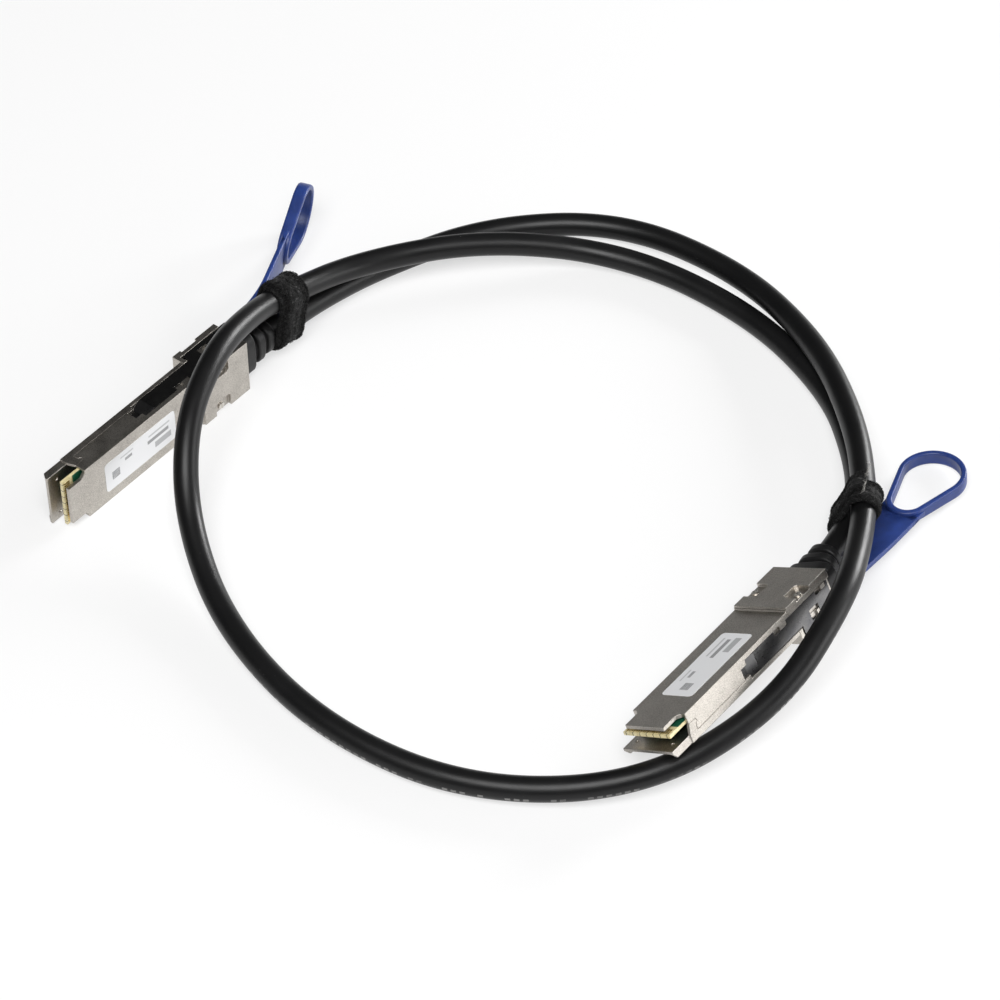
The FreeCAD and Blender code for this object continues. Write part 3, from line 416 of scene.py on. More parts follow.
def tie_strap(name, random):
    """A flat strap carried round the oblong, climbing one layer as it laps over its start.
    Its section is a rounded flat bar whose long side lies along the strands. It sags a
    little between the strands, thins towards both ends and wanders along the strands by a
    slant, a creep from layer to layer and a swing of the tail. Returns piece and rings."""
    middle, heading, across, square, reach = tie_frame(name)
    share = np.linspace(0, TIE_TURNS[name], TIE_STEPS)
    left = TIE_TURNS[name] - share
    layer = np.clip((share - LAP_START) / (1 - LAP_START), 0, 1)
    radius = TIE_FIRST_LAYER + TIE_LAYER_STEP * layer**2 * (3 - 2 * layer)
    point, outward = oblong(share + TIE_START[name], reach, radius)
    sag = TIE_SAG * TIE_THICKNESS * np.exp(-(point[:, 0] / reach) ** 2)
    point = point - outward * sag[:, None]
    angle = np.linspace(0, 2 * math.pi, TIE_SIDES, endpoint=False)
    flat = signed_power(np.cos(angle), BAR_POWERS[0])
    thick = signed_power(np.sin(angle), BAR_POWERS[1])
    taper = (np.sqrt(np.clip(left / TAIL_TAPER[0], TAIL_TAPER[1], 1))
             * np.clip(share / LEAD_TAPER[0], LEAD_TAPER[1], 1))
    width = TIE_WIDTH / 2 * (1 + sum(size * np.sin(share * pace + shift)
                                     for size, pace, shift in EDGE_WAVES))
    slant = (TIE_SLANT[name] * np.sin(2 * math.pi * share) + TIE_CREEP[name] * (layer - 0.5)
             + TIE_TAIL_SLANT[name] * np.clip(1 - left / TAIL_SWING, 0, 1) ** 2)
    rough = random.normal(0, WEAVE_ROUGHNESS, (TIE_STEPS, TIE_SIDES))
    level = TIE_THICKNESS / 2 * thick[None] * taper[:, None] + rough
    shell = point[:, None] + outward[:, None] * level[..., None]
    rows = (middle + heading * (width[:, None] * flat[None] + slant[:, None])[..., None]
            + across * shell[..., :1] + square * shell[..., 1:])
    return swept(name + "_strap", rows), rows


def threads(name, spines, radius):
    """Fine threads in one mesh: a three-sided tube round each row of spine points."""
    count, steps = spines.shape[:2]
    ahead = unit(np.gradient(spines, axis=1))
    side = unit(np.cross(ahead, THREAD_SLOPE))
    lift = np.cross(ahead, side)
    angle = np.linspace(0, 2 * math.pi, 3, endpoint=False)
    ring = (spines[:, :, None] + side[:, :, None] * (radius * np.cos(angle))[:, None]
            + lift[:, :, None] * (radius * np.sin(angle))[:, None])
    base = np.arange(count)[:, None, None] * (steps * 3)
    s, t = np.meshgrid(np.arange(steps - 1), np.arange(3), indexing="ij")
    quad = np.stack([s * 3 + t, s * 3 + (t + 1) % 3, (s + 1) * 3 + (t + 1) % 3,
                     (s + 1) * 3 + t], -1).reshape(1, -1, 4)
    ends = np.array([[0, 2, 1], np.array([0, 1, 2]) + 3 * (steps - 1)])[None]
    faces = (base + quad).reshape(-1, 4).tolist() + (base + ends).reshape(-1, 3).tolist()
    mesh = bpy.data.meshes.new(name)
    mesh.from_pydata(ring.reshape(-1, 3).tolist(), [], faces)
    return placed(name, mesh)


def tie_pile(name, rows, random):
    """Loose loops of thread that stand on the strap: each is a thin half ring whose feet
    are sunk in the strap. It is turned about the strap's normal and leans by chance."""
    steps, around = rows.shape[:2]
    i = random.integers(2, steps - 2, PILE_COUNT)
    j = random.integers(0, around // 2 + 1, PILE_COUNT)
    foot = rows[i, j]
    lengthwise = unit(rows[i + 1, j] - rows[i - 1, j])
    crosswise = unit(rows[i, (j + 1) % around] - rows[i, (j - 1) % around])
    normal = np.cross(crosswise, lengthwise)
    normal *= np.sign(np.sum(normal * (foot - rows.mean(axis=1)[i]), -1, keepdims=True))
    spin = random.uniform(0, 2 * math.pi, PILE_COUNT)[:, None]
    base = unit(lengthwise * np.cos(spin) + crosswise * np.sin(spin))
    lean = random.uniform(-PILE_LEAN, PILE_LEAN, PILE_COUNT)[:, None]
    top = unit(normal + base[:, ::-1] * lean)
    size = random.uniform(*PILE_SIZES, PILE_COUNT)[:, None, None]
    sweep = np.linspace(0, math.pi, THREAD_POINTS)[None, :, None]
    out = base[:, None] * np.cos(sweep) + top[:, None] * np.sin(sweep)
    spines = foot[:, None] + out * size - normal[:, None] * PILE_THREAD
    return threads(name + "_pile", spines, PILE_THREAD)


def tie_fringe(name, rows, random):
    """Pale backing threads that fray along the strap's cut end: each runs along the edge,
    rises from it in proportion to its reach, and bows and curls ahead of it."""
    place = random.integers(0, rows.shape[1] // 2, FRINGE_COUNT)
    foot = rows[-2, place]
    end_middle = rows[-1].mean(axis=0)
    ahead = unit(end_middle - rows[-TAIL_RINGS].mean(axis=0))
    edge = unit(rows[-1, 0] - rows[-1, rows.shape[1] // 2])
    lift = np.cross(edge, ahead)
    lift *= np.sign(lift @ (end_middle - rows.mean(axis=(0, 1))))
    reach = random.uniform(*FRINGE_REACH, FRINGE_COUNT)[:, None, None]
    curl = random.uniform(-FRINGE_CURL, FRINGE_CURL, (FRINGE_COUNT, 1, 1))
    rise = random.uniform(0.0, FRINGE_RISE, (FRINGE_COUNT, 1, 1))
    sign = random.choice([-1.0, 1.0], FRINGE_COUNT)[:, None, None]
    t = np.linspace(0, 1, THREAD_POINTS)[None, :, None]
    bow = FRINGE_BOW * np.sin(math.pi * t) + curl * t**2
    spines = (foot[:, None] + edge * (sign * reach * t) + ahead * (reach * bow)
              + lift * (reach * rise * t + FRINGE_LIFT))
    return threads(name + "_fringe", spines, FRINGE_THREAD)


def tie_material():
    """Black brushed nylon: a matted pile of dark threads with a few pale ones."""
    nodes = new_nodes("brushed_nylon")
    tuft = nodes.noise(scale=1150.0, detail=5.0, roughness=0.62)
    mat = nodes.math("MULTIPLY", nodes.cells(scale=1900.0), tuft)
    return nodes.shade({
        "Base Color": nodes.ramp(tuft, (0.44, 0.0015), (0.56, 0.006), (0.68, 0.055)),
        "Roughness": 0.85,
        "Specular IOR Level": 0.15,
        "Sheen Weight": 0.06,
        "Sheen Roughness": 0.5,
        "Normal": nodes.bump(mat, strength=0.9, distance=0.0003),
    })


def fringe_material():
    """Undyed polyester thread."""
    return new_nodes("backing_thread").shade({
        "Base Color": (0.30, 0.29, 0.27, 1),
        "Roughness": 0.6,
    })


fabric = tie_material()
frayed = fringe_material()
tie_pieces = []
for name, seed in TIE_SEEDS.items():
    random = np.random.default_rng(seed)
    strap, strap_rows = tie_strap(name, random)
    pile = tie_pile(name, strap_rows, random)
    fringe = tie_fringe(name, strap_rows, random)
    for piece, material in ((strap, fabric), (pile, fabric), (fringe, frayed)):
        piece.data.materials.append(material)
        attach(piece, "cable_body")
    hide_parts(name)
    tie_pieces += [strap, pile, fringe]

# ---- Die-cast shells ---------------------------------------------------------------------
# Each plug's housing is two zinc castings, nickel plated, with a fine cast grain. They hook
# into each other at the nose and two screws hold them at the rear.

CAST_EDGE = 0.00015
EDGE_SEGMENTS = 2
EDGE_ANGLE = math.radians(32)
FLAT_ANGLE = math.radians(0.5)
MERGE_DISTANCE = 2e-6


def softened(node, suffix, width):
    """A merged copy of a CAD node whose sharp edges are rounded to a width, through their
    bevel weight. The width has to stay under half of the node's shortest edge, 0.35 mm on
    the castings, because the rounding isn't clamped where two edges lie close together."""
    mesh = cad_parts[node].data.copy()
    mesh.materials.clear()
    shape = bmesh.new()
    shape.from_mesh(mesh)
    bmesh.ops.remove_doubles(shape, verts=shape.verts, dist=MERGE_DISTANCE)
    bmesh.ops.dissolve_limit(shape, angle_limit=FLAT_ANGLE, verts=shape.verts,
                             edges=shape.edges)
    weight = shape.edges.layers.float.new("bevel_weight_edge")
    for edge in shape.edges:
        sharp = len(edge.link_faces) == 2 and edge.calc_face_angle() > EDGE_ANGLE
        edge[weight] = 1.0 if sharp else 0.0
    shape.to_mesh(mesh)
    shape.free()
    mesh.shade_flat()
    piece = bpy.data.objects.new(node + suffix, mesh)
    bpy.context.collection.objects.link(piece)
    edges = piece.modifiers.new("edges", "BEVEL")
    edges.width = width
    edges.segments = EDGE_SEGMENTS
    edges.limit_method = "WEIGHT"
    edges.use_clamp_overlap = False
    return piece


def cast_material():
    """Satin nickel over die-cast zinc: metal with a fine pebbled grain of darker and
    lighter specks, over a broad cloudy change of tone and gloss."""
    nodes = new_nodes("nickel_cast")
    grain = nodes.noise(scale=3600.0, detail=4.0, roughness=0.65)
    cloud = nodes.noise(scale=160.0, detail=3.0)
    both = nodes.math("ADD", nodes.math("MULTIPLY", grain, 0.8),
                      nodes.math("MULTIPLY", cloud, 0.2))
    return nodes.shade({
        "Base Color": nodes.ramp(both, (0.34, (0.27, 0.25, 0.225)),
                                 (0.50, (0.49, 0.46, 0.42)), (0.66, (0.64, 0.61, 0.56))),
        "Metallic": 1.0,
        "Roughness": nodes.ramp(cloud, (0.3, 0.36), (0.7, 0.44)),
        "Normal": nodes.bump(grain, strength=0.22, distance=0.00008),
    })


cast = cast_material()
for end in "ab":
    for half in ("label_shell_", "tab_shell_"):
        shell = softened(half + end, "_cast", CAST_EDGE)
        shell.data.materials.append(cast)
        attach(shell, "cable_body")
        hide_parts(half + end)

# ---- Latch sliders -----------------------------------------------------------------------
# One bent spring steel sheet per plug: two ramped arms in the side channels, joined by a
# yoke under the rear block, which also grips the pull tab. It slides back with the tab.

SHEET_EDGE = 0.00005


def steel_material():
    """Smooth rolled steel, darker than the castings, whose tone and gloss change a little
    from place to place."""
    nodes = new_nodes("spring_steel")
    cloud = nodes.noise(scale=240.0, detail=5.0)
    fine = nodes.noise(scale=1500.0, detail=2.0)
    return nodes.shade({
        "Base Color": nodes.ramp(cloud, (0.3, (0.12, 0.12, 0.125)),
                                 (0.7, (0.18, 0.178, 0.175))),
        "Metallic": 1.0,
        "Roughness": nodes.ramp(fine, (0.3, 0.27), (0.7, 0.30)),
    })


steel = steel_material()
for end in "ab":
    slider = softened("latch_slider_" + end, "_sheet", SHEET_EDGE)
    slider.data.materials.append(steel)
    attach(slider, "slider_" + end)
    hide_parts("latch_slider_" + end)

# ---- Paddle card, contacts, screws and leads ---------------------------------------------
# A thin glass-epoxy board with green mask, cream cut edges and a row of gold contacts on
# each face. Two small plated screws sit in the recesses of the rear block. The foil-wrapped
# leads and the crimp sleeve that holds the cable are hidden in the housing.

MASK_START = 0.0036
BOARD_TOP = -0.00211
BOARD_THICKNESS = 0.0010
FACE_DEPTH = 0.00003
TICK_PITCH = 0.0024
TICK_SHARE = 0.10
TICK_REACH = 0.0009
TICK_BROWN = (0.05, 0.035, 0.012, 1)


def plug_position(nodes, end):
    """Place along, across and square to a plug in metres, from the place on the piece."""
    mapping = nodes.add("ShaderNodeMapping", nodes.place(), vector_type="TEXTURE",
                        Location=PLUG_PLACES[end][0], Rotation=plug_turn(end).to_euler())
    return nodes.add("ShaderNodeSeparateXYZ", mapping.outputs[0]).outputs


def board_material(end):
    """Green mask on the two faces behind the contacts, bare cream glass-epoxy elsewhere,
    with dark ends of plating traces at the front edge."""
    nodes = new_nodes("glass_epoxy_" + end)
    lengthwise, crosswise, upward = plug_position(nodes, end)
    half = BOARD_THICKNESS / 2
    from_middle = nodes.math("ABSOLUTE", nodes.math("SUBTRACT", upward, BOARD_TOP - half))
    on_face = nodes.math("GREATER_THAN", from_middle, half - FACE_DEPTH)
    behind = nodes.math("GREATER_THAN", lengthwise, MASK_START)
    masked = nodes.math("MULTIPLY", on_face, behind)
    weave = nodes.noise(scale=1300.0, detail=4.0)
    cream = nodes.ramp(weave, (0.35, (0.62, 0.53, 0.27)), (0.65, (0.82, 0.73, 0.44)))
    green = nodes.ramp(weave, (0.35, (0.008, 0.075, 0.04)), (0.65, (0.016, 0.125, 0.065)))
    pitch_share = nodes.math("FRACT", nodes.math("MULTIPLY", crosswise, 1 / TICK_PITCH))
    tick = nodes.math("MULTIPLY", nodes.math("LESS_THAN", pitch_share, TICK_SHARE),
                      nodes.math("LESS_THAN", lengthwise, TICK_REACH))
    bare = nodes.mix(tick, cream, TICK_BROWN)
    return nodes.shade({
        "Base Color": nodes.mix(masked, bare, green),
        "Roughness": 0.32,
        "Coat Weight": 0.3,
        "Normal": nodes.bump(weave, strength=0.15, distance=0.00005),
    })


def plated_material(name, dark, light, low, high):
    """Plated metal whose tone and roughness wander a little over its surface."""
    nodes = new_nodes(name)
    cloud = nodes.noise(scale=1800.0, detail=3.0)
    return nodes.shade({
        "Base Color": nodes.ramp(cloud, (0.3, dark), (0.7, light)),
        "Metallic": 1.0,
        "Roughness": nodes.ramp(cloud, (0.3, low), (0.7, high)),
    })


def finish_node(node, material):
    """Give a CAD node one material in every slot."""
    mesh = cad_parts[node].data
    if not mesh.materials:
        mesh.materials.append(material)
    for index in range(len(mesh.materials)):
        mesh.materials[index] = material


gold = plated_material("contact_gold", (0.62, 0.42, 0.12), (0.85, 0.64, 0.27), 0.22, 0.34)
screw_plate = plated_material("screw_plate", (0.55, 0.53, 0.49), (0.80, 0.77, 0.72),
                              0.24, 0.36)
sleeve = plated_material("crimp_sleeve", (0.42, 0.41, 0.40), (0.58, 0.57, 0.55), 0.3, 0.45)
foil = plated_material("lead_foil", (0.35, 0.40, 0.55), (0.55, 0.60, 0.75), 0.3, 0.5)
for end in "ab":
    finish_node("paddle_card_" + end, board_material(end))
    finish_node("contact_pads_" + end, gold)
    finish_node("shell_screws_" + end, screw_plate)
    finish_node("cable_clamp_" + end, sleeve)
    finish_node("twinax_leads_" + end, foil)

# ---- Labels ------------------------------------------------------------------------------
# A coated paper label with rounded corners on each plug's broad face, with plain bars and
# a hatched square where a real one is filled in.

LABEL_START = 0.0140
LABEL_LENGTH = 0.0289
LABEL_MIDDLE = -0.00035
LABEL_WIDTH = 0.0107
LABEL_BARS = [
    (0.70, 0.93, 0.22, 0.42, 0.50), (0.60, 0.90, 0.52, 0.64, 0.34),
    (0.62, 0.92, 0.74, 0.80, 0.62), (0.28, 0.38, 0.62, 0.72, 0.40),
    (0.22, 0.40, 0.80, 0.85, 0.66),
]
LABEL_SQUARE = (0.09, 0.20, 0.30, 0.58)
HATCH_LINES = (60.0, 22.0)
HATCH_INK = 0.75
LABEL_WHITE = (0.69, 0.695, 0.705, 1)
LABEL_BLACK = (0.03, 0.03, 0.035, 1)


def label_material(end):
    """White coated stock; each bar is (start, end, low, high, grey) in shares of the
    label, and the square is hatched both ways."""
    nodes = new_nodes("label_stock_" + end)
    lengthwise, crosswise, _ = plug_position(nodes, end)
    along_share = nodes.math("DIVIDE", nodes.math("SUBTRACT", lengthwise, LABEL_START),
                             LABEL_LENGTH)
    low_side = LABEL_MIDDLE - LABEL_WIDTH / 2
    cross_share = nodes.math("DIVIDE", nodes.math("SUBTRACT", crosswise, low_side),
                             LABEL_WIDTH)

    def inside(share, low, high):
        """1 between two shares, 0 elsewhere."""
        return nodes.math("MULTIPLY", nodes.math("GREATER_THAN", share, low),
                          nodes.math("LESS_THAN", share, high))

    def block(start, stop, low, high):
        """1 within a rectangle of the label, 0 elsewhere."""
        return nodes.math("MULTIPLY", inside(along_share, start, stop),
                          inside(cross_share, low, high))

    def stripes(share, count):
        """1 on every other stripe of a share, 0 between."""
        return nodes.math("LESS_THAN", nodes.math(
            "FRACT", nodes.math("MULTIPLY", share, count)), 0.5)

    hatch = nodes.math("MAXIMUM", stripes(along_share, HATCH_LINES[0]),
                       stripes(cross_share, HATCH_LINES[1]))
    ink = nodes.math("MULTIPLY", block(*LABEL_SQUARE),
                     nodes.math("MULTIPLY", hatch, HATCH_INK))
    for *corners, grey in LABEL_BARS:
        bar = nodes.math("MULTIPLY", block(*corners), 1 - grey)
        ink = nodes.math("MAXIMUM", ink, bar)
    fibre = nodes.noise(scale=2200.0, detail=3.0)
    return nodes.shade({
        "Base Color": nodes.mix(ink, LABEL_WHITE, LABEL_BLACK),
        "Roughness": nodes.ramp(fibre, (0.3, 0.36), (0.7, 0.48)),
    })


for end in "ab":
    finish_node("label_" + end, label_material(end))

# ---- Strain reliefs ----------------------------------------------------------------------
# Black elastomer moulded over the cable end: a broad flange and two ribs on a slimmer core,
# wide and flat at the housing and nearly round at the cable, bent the way the cable leaves.

RELIEF_START = 0.07325
RELIEF_LENGTH = 0.0132
RELIEF_AXIS = -0.00425
# Start, length, width and height of the flange and the two ribs.
RIBS = [
    (0.0000, 0.0050, 0.0150, 0.0082), (0.0063, 0.0028, 0.0116, 0.0086),
    (0.0104, 0.0028, 0.0098, 0.0086),
]
RIB_EDGE = 0.0005
RIB_BEVEL = 0.00015
RIB_FOOT = 0.0001
CORE_WIDTH = 0.0078
CORE_HEIGHT = 0.0062
RELIEF_STEPS = 181
RELIEF_SIDES = 64
SIDE_SHARPNESS = 4
TOP_POWER = 0.8


def relief_path(end, share):
    """Points and headings of the relief's bent centre line: a cubic that leaves the housing
    straight and ends along the cable."""
    start = np.array([RELIEF_START, 0, RELIEF_AXIS])
    finish = np.array(RELIEF_ENDS[end])
    pull = np.array([RELIEF_LENGTH, 0, 0])
    push = unit(np.array(CABLE_LEADS[end]) - finish) * RELIEF_LENGTH
    s = share[:, None]
    point = (start * (2 * s**3 - 3 * s**2 + 1) + pull * (s**3 - 2 * s**2 + s)
             + finish * (3 * s**2 - 2 * s**3) + push * (s**3 - s**2))
    slope = (start * (6 * s**2 - 6 * s) + pull * (3 * s**2 - 4 * s + 1)
             + finish * (6 * s - 6 * s**2) + push * (3 * s**2 - 2 * s))
    return point, unit(slope)


def relief_profile(share):
    """Width and height along the relief: each rib is (start, length, width, height), with
    a flat top and bevelled shoulders, and the core shows between the ribs."""
    knots, widths, heights = [], [], []
    shoulder = [(0, RIB_EDGE), (RIB_BEVEL, RIB_BEVEL), (RIB_EDGE, 0)]
    for start, length, width, height in RIBS:
        for offset, drop in shoulder + [(length - inset, drop) for inset, drop in shoulder]:
            knots.append(start + offset)
            widths.append(width - 2 * drop)
            heights.append(height - 2 * drop)
    for before, after in zip(RIBS, RIBS[1:]):
        knots += [before[0] + before[1] + RIB_FOOT, after[0] - RIB_FOOT]
        widths += [CORE_WIDTH] * 2
        heights += [CORE_HEIGHT] * 2
    order = np.argsort(knots)
    knots, widths, heights = (np.array(part)[order] for part in (knots, widths, heights))
    place = share * RELIEF_LENGTH
    return np.interp(place, knots, widths), np.interp(place, knots, heights)


def relief_piece(end):
    """Rounded flat sections square to the centre line, as wide and high as the profile. A
    section's ends are nearly half circles of its height, moved apart by a flat part."""
    share = np.linspace(0, 1, RELIEF_STEPS)
    point, heading = relief_path(end, share)
    width, height = relief_profile(share)
    angle = np.linspace(0, 2 * math.pi, RELIEF_SIDES, endpoint=False)
    lift = unit(np.cross(heading, (0, 1, 0)))
    side = np.cross(lift, heading)
    rounding = height[:, None] / 2
    flat = np.maximum(width[:, None] / 2 - rounding, RIB_FOOT)
    wide = np.cos(angle) * rounding + np.tanh(SIDE_SHARPNESS * np.cos(angle)) * flat
    high = signed_power(np.sin(angle), TOP_POWER) * rounding
    rows = point[:, None] + side[:, None] * wide[..., None] + lift[:, None] * high[..., None]
    return swept("relief_" + end, from_plug(end, rows))


def moulding_material():
    """Matte black elastomer with a fine spark-eroded grain."""
    nodes = new_nodes("black_elastomer")
    grain = nodes.noise(scale=3000.0, detail=3.0)
    return nodes.shade({
        "Base Color": nodes.ramp(grain, (0.3, (0.006, 0.006, 0.0062)),
                                 (0.7, (0.013, 0.013, 0.0135))),
        "Roughness": 0.46,
        "Specular IOR Level": 0.30,
        "Normal": nodes.bump(grain, strength=0.25, distance=0.00006),
    })


elastomer = moulding_material()
for end in "ab":
    relief = relief_piece(end)
    relief.data.materials.append(elastomer)
    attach(relief, "cable_body")
    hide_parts("strain_relief_" + end)

# ---- Pull tabs ---------------------------------------------------------------------------
# One soft blue moulding per plug: a flat strap clamped in the slider's yoke, which ends in
# an egg-shaped finger loop whose band stands square to the strap.

TAIL_END = 0.0774
STRAP_OFFSET = 0.00065
STRAP_PLANE = -0.0105
STRAP_WIDTH = 0.0123
STRAP_THICKNESS = 0.0015
STRAP_CORNER = 0.0004
LOOP_START = 0.1160
LOOP_LENGTH = 0.0290
LOOP_RADIUS = 0.0098
LOOP_WALL = 0.0016
LOOP_HEIGHTS = (0.0034, 0.0040)
LOOP_RIDGE = 0.00012
RIDGE_REACH = 0.4
BAND_CORNER = 0.22
YOKE_GRIP = 0.002
STRAP_STEPS = 90
GUSSET_OVERLAP = 0.001
GUSSET_REACH = 0.98
GUSSET_STEPS = 24
GUSSET_CORNER = 0.18
GUSSET_TIP = 0.0006
OPENING_ROOT = 0.0044
OPENING_SETBACK = 0.0020
# Where each strap starts to bend, the bend's radius, its angle and the twist in degrees.
FLEX = {"a": (0.0785, 0.050, 25.0, 6.0), "b": (0.103, 0.060, -2.0, 22.0)}


def strap_frames(end, travel):
    """Middle line of the strap and its directions: straight, round the bend, straight
    again, with a steady twist about its own length."""
    start, radius, degrees, twist = FLEX[end]
    flex = math.radians(abs(degrees))
    sign = math.copysign(1, degrees)
    before = start - TAIL_END
    bent = np.clip((travel - before) / radius, 0, flex)
    after = np.maximum(travel - before - flex * radius, 0)
    x = np.minimum(travel, before) + radius * np.sin(bent) + after * np.cos(bent)
    drop = radius * (1 - np.cos(bent)) + after * np.sin(bent)
    point = np.stack([TAIL_END + x, np.full_like(x, STRAP_OFFSET),
                      STRAP_PLANE - sign * drop], -1)
    tilt = sign * bent
    zero = np.zeros_like(tilt)
    ahead = np.stack([np.cos(tilt), zero, -np.sin(tilt)], -1)
    normal = np.stack([np.sin(tilt), zero, np.cos(tilt)], -1)
    across = np.array([0.0, 1.0, 0.0])
    roll = math.radians(twist) * np.minimum(travel / (LOOP_START - TAIL_END), 1)
    side = across * np.cos(roll)[:, None] + normal * np.sin(roll)[:, None]
    face = normal * np.cos(roll)[:, None] - across * np.sin(roll)[:, None]
    return point, ahead, side, face


def rounded_bar(width, thickness, corner, per_corner=5):
    """Outline of a rectangle with rounded corners, one quarter circle in each corner."""
    turn = np.linspace(0, math.pi / 2, per_corner)
    outline = []
    for quarter, (sx, sy) in enumerate(((1, 1), (-1, 1), (-1, -1), (1, -1))):
        angle = turn + quarter * math.pi / 2
        outline.append(np.stack([sx * (width / 2 - corner) + corner * np.cos(angle),
                                 sy * (thickness / 2 - corner) + corner * np.sin(angle)], -1))
    return np.concatenate(outline)


def strap_piece(end):
    """The rounded flat bar carried along the strap's middle line, from within the yoke into
    the loop's root."""
    travel = np.linspace(-YOKE_GRIP, LOOP_START + OPENING_SETBACK - TAIL_END,
                         STRAP_STEPS)
    point, ahead, side, face = strap_frames(end, np.maximum(travel, 0))
    point = point + ahead * np.minimum(travel, 0)[:, None]
    bar = rounded_bar(STRAP_WIDTH, STRAP_THICKNESS, STRAP_CORNER)
    rows = (point[:, None] + side[:, None] * bar[None, :, :1]
            + face[:, None] * bar[None, :, 1:])
    return swept("tab_strap_" + end, from_plug(end, rows))


def loop_root(end):
    """Place and directions of the strap where the loop starts."""
    return [part[0] for part in strap_frames(end, np.array([LOOP_START - TAIL_END]))]


def gusset_piece(end, sign):
    """The corner of flat strap beside the loop's root: a bar that narrows to a thin tip as
    the loop's own round root widens to the strap's full width."""
    root = STRAP_WIDTH / 2
    ahead_by = np.linspace(-GUSSET_OVERLAP, root * GUSSET_REACH, GUSSET_STEPS)
    point, ahead, side, face = loop_root(end)
    into = np.clip(ahead_by, 0, root)
    inside = np.sqrt(root**2 - (root - into) ** 2) - LOOP_WALL / 2
    inside = np.clip(inside, 0, root - GUSSET_TIP)
    bar = rounded_bar(1, 1, GUSSET_CORNER)
    level = (root + inside)[:, None] / 2 + bar[None, :, 0] * (root - inside)[:, None]
    rows = (point + ahead * ahead_by[:, None, None] + side * (sign * level)[..., None]
            + face * (bar[None, :, 1, None] * STRAP_THICKNESS))
    return swept("tab_gusset_%s_%d" % (end, sign > 0), from_plug(end, rows))


def egg(near, near_radius, far, far_radius, per_part=40):
    """Outline round two circles on one line: the far circle's arc, a straight line that
    touches both, the near circle's arc and the other straight line."""
    lean = math.acos((near_radius - far_radius) / (far - near))
    arcs = []
    for centre, radius, start, stop in ((far, far_radius, -lean, lean),
                                        (near, near_radius, lean, 2 * math.pi - lean)):
        angle = np.linspace(start, stop, 2 * per_part)
        outward = np.stack([np.cos(angle), np.sin(angle)], -1)
        arcs.append(outward * radius + [centre, 0])
    share = np.linspace(0, 1, per_part + 2)[1:-1, None]
    up = arcs[0][-1] * (1 - share) + arcs[1][0] * share
    down = arcs[1][-1] * (1 - share) + arcs[0][0] * share
    return np.concatenate([arcs[0], up, arcs[1], down])


def loop_piece(end):
    """A band between two egg outlines. Its height grows towards the far end, and so do the
    low ridges that run along its inside: a cosine wave over the band's height."""
    point, ahead, side, face = loop_root(end)
    crown = LOOP_LENGTH - LOOP_RADIUS
    root = STRAP_WIDTH / 2
    outer = egg(root, root, crown, LOOP_RADIUS)
    inner = egg(OPENING_ROOT + OPENING_SETBACK, OPENING_ROOT, crown, LOOP_RADIUS - LOOP_WALL)
    middle = (outer + inner) / 2
    thick = np.linalg.norm(outer - inner, axis=1)
    outward = unit(outer - inner)
    share = np.clip(middle[:, 0] / LOOP_LENGTH, 0, 1)
    height = LOOP_HEIGHTS[0] + (LOOP_HEIGHTS[1] - LOOP_HEIGHTS[0]) * share
    bar = rounded_bar(1, 1, BAND_CORNER, per_corner=6)
    wave = np.cos(np.clip(bar[:, 1], -RIDGE_REACH, RIDGE_REACH) * 5 * math.pi)
    ridge = np.where(bar[:, 0] < -RIDGE_REACH, LOOP_RIDGE * wave, 0)
    level = bar[None, :, 0] * thick[:, None] - ridge[None] * share[:, None] ** 2
    flat = middle[:, None] + outward[:, None] * level[..., None]
    rows = (point + ahead * flat[..., :1] + side * flat[..., 1:]
            + face * (bar[None, :, 1] * height[:, None])[..., None])
    return swept("tab_loop_" + end, from_plug(end, rows), closed=True)


def tab_material():
    """Soft blue elastomer: a deep body colour, a finely textured face and a waxy sheen that
    lets a little light in at the edges."""
    nodes = new_nodes("blue_elastomer")
    grain = nodes.noise(scale=4200.0, detail=3.0)
    cloud = nodes.noise(scale=180.0, detail=3.0)
    return nodes.shade({
        "Base Color": nodes.ramp(cloud, (0.3, (0.014, 0.033, 0.150)),
                                 (0.7, (0.022, 0.050, 0.215))),
        "Roughness": nodes.ramp(grain, (0.3, 0.34), (0.7, 0.46)),
        "Subsurface Weight": 0.25,
        "Subsurface Radius": (0.2, 0.4, 1.0),
        "Subsurface Scale": 0.001,
        "Normal": nodes.bump(grain, strength=0.12, distance=0.00005),
    })


blue = tab_material()
for end in "ab":
    strap = strap_piece(end)
    for piece in (strap, loop_piece(end), gusset_piece(end, 1), gusset_piece(end, -1)):
        piece.data.materials.append(blue)
        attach(piece, "slider_" + end)
    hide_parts("pull_tab_" + end)

# ---- Stand and light ---------------------------------------------------------------------
# A plain white table top, a broad soft box high up in front and two smaller ones low on the
# right. The room behind them is dim, so flat metal that faces it goes grey.

FLOOR_RADIUS = 3.0
FLOOR_SIDES = 96
FLOOR_WHITE = (0.86, 0.86, 0.86, 1)
FLOOR_GLOW = 0.62
ROOM_GREYS = ((0.0, 0.05), (0.48, 0.08), (0.58, 0.02), (0.72, 0.008), (0.9, 0.04))


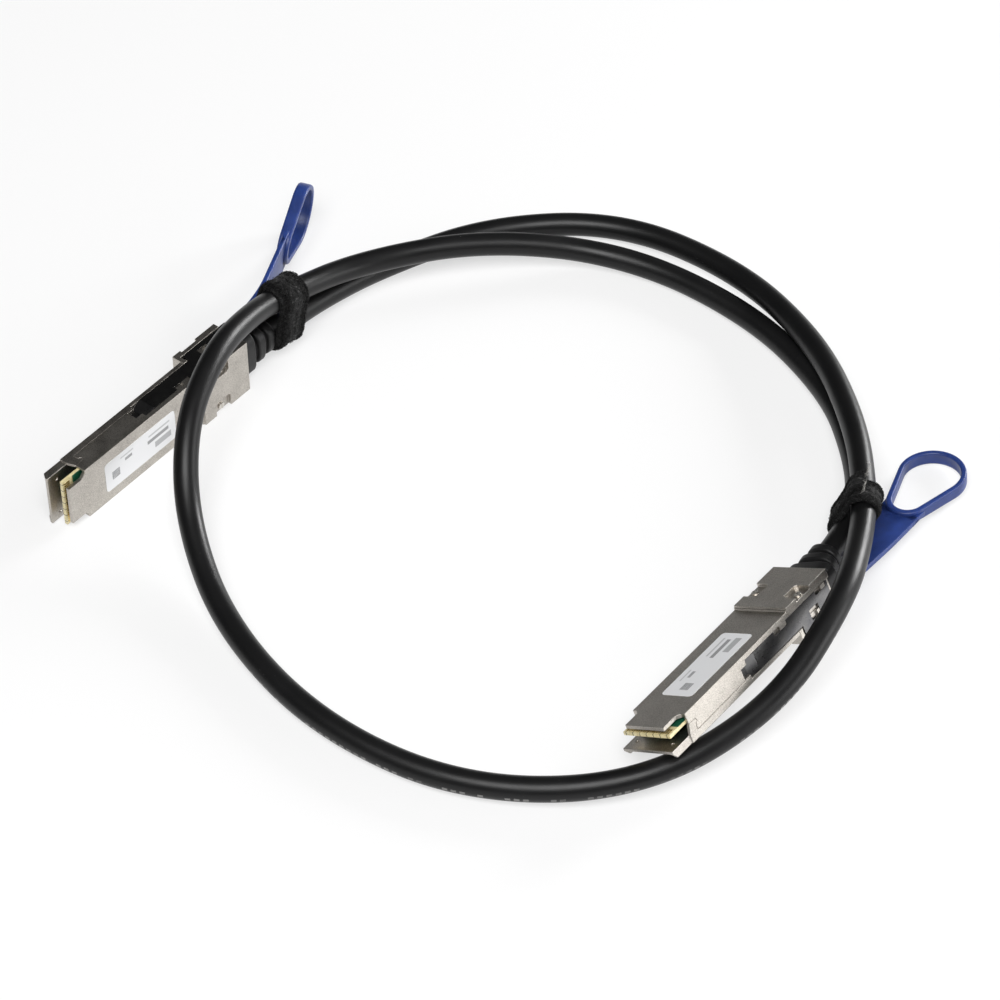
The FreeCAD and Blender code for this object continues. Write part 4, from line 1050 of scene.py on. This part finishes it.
def floor_material():
    """White table top that keeps soft shadows. To the camera and in reflections it also
    glows a little, more weakly further out, so that it stays white round the object."""
    nodes = new_nodes("table_top")
    nodes.shade({"Base Color": FLOOR_WHITE, "Roughness": 0.9, "Specular IOR Level": 0.0})
    far = nodes.add("ShaderNodeVectorMath", nodes.place(), operation="LENGTH")
    share = nodes.math("MULTIPLY", far.outputs["Value"], 1 / FLOOR_RADIUS)
    glow = nodes.add("ShaderNodeEmission", nodes.ramp(share, (0.14, 1.0), (0.55, 0.55)),
                     Strength=1.0)
    ray = nodes.add("ShaderNodeLightPath").outputs
    seen = nodes.math("MAXIMUM", ray["Is Camera Ray"], nodes.math(
        "MAXIMUM", ray["Is Glossy Ray"], ray["Is Transmission Ray"]))
    mixed = nodes.add("ShaderNodeMixShader", nodes.math("MULTIPLY", seen, FLOOR_GLOW),
                      nodes.own("BSDF_PRINCIPLED").outputs[0], glow.outputs[0])
    nodes.feed(nodes.own("OUTPUT_MATERIAL").inputs["Surface"], mixed.outputs[0])
    return nodes.owner


edge = np.linspace(0, 2 * math.pi, FLOOR_SIDES, endpoint=False)
rim = np.stack([np.cos(edge), np.sin(edge), np.zeros_like(edge)], -1) * FLOOR_RADIUS
floor_mesh = bpy.data.meshes.new("floor")
floor_mesh.from_pydata(rim.tolist(), [], [list(range(FLOOR_SIDES))])
floor = bpy.data.objects.new("floor", floor_mesh)
bpy.context.collection.objects.link(floor)
floor_mesh.materials.append(floor_material())


def room_light():
    """A dim room: palest at the horizon, darkest half way up and a little paler overhead.
    The height of a direction is its Z, brought from -1 to 1 into 0 to 1."""
    world = bpy.data.worlds.new("room")
    bpy.context.scene.world = world
    nodes = Nodes(world)
    split = nodes.add("ShaderNodeSeparateXYZ", nodes.place("Generated"))
    height = nodes.math("MULTIPLY_ADD", split.outputs[2], 0.5, 0.5)
    nodes.feed(nodes.own("BACKGROUND").inputs["Color"], nodes.ramp(height, *ROOM_GREYS))


def soft_box(name, place, aim, width, height, watts):
    """A rectangular lamp at a place, turned towards a point."""
    lamp = bpy.data.lights.new(name, "AREA")
    lamp.shape = "RECTANGLE"
    lamp.size = width
    lamp.size_y = height
    lamp.energy = watts
    holder = bpy.data.objects.new(name, lamp)
    bpy.context.collection.objects.link(holder)
    holder.location = place
    direction = Vector(aim) - Vector(place)
    holder.rotation_euler = direction.to_track_quat("-Z", "Y").to_euler()


room_light()
soft_box("overhead", place=(-0.1, -0.75, 1.3), aim=(0, 0, 0), width=1.0, height=0.8, watts=24)
soft_box("right_side", place=(0.95, 0.75, 0.36), aim=(0, 0, 0.02), width=0.45, height=0.45,
         watts=15)
soft_box("right_front", place=(1.3, -0.25, 0.30), aim=(0, 0, 0), width=0.9, height=0.7,
         watts=8)
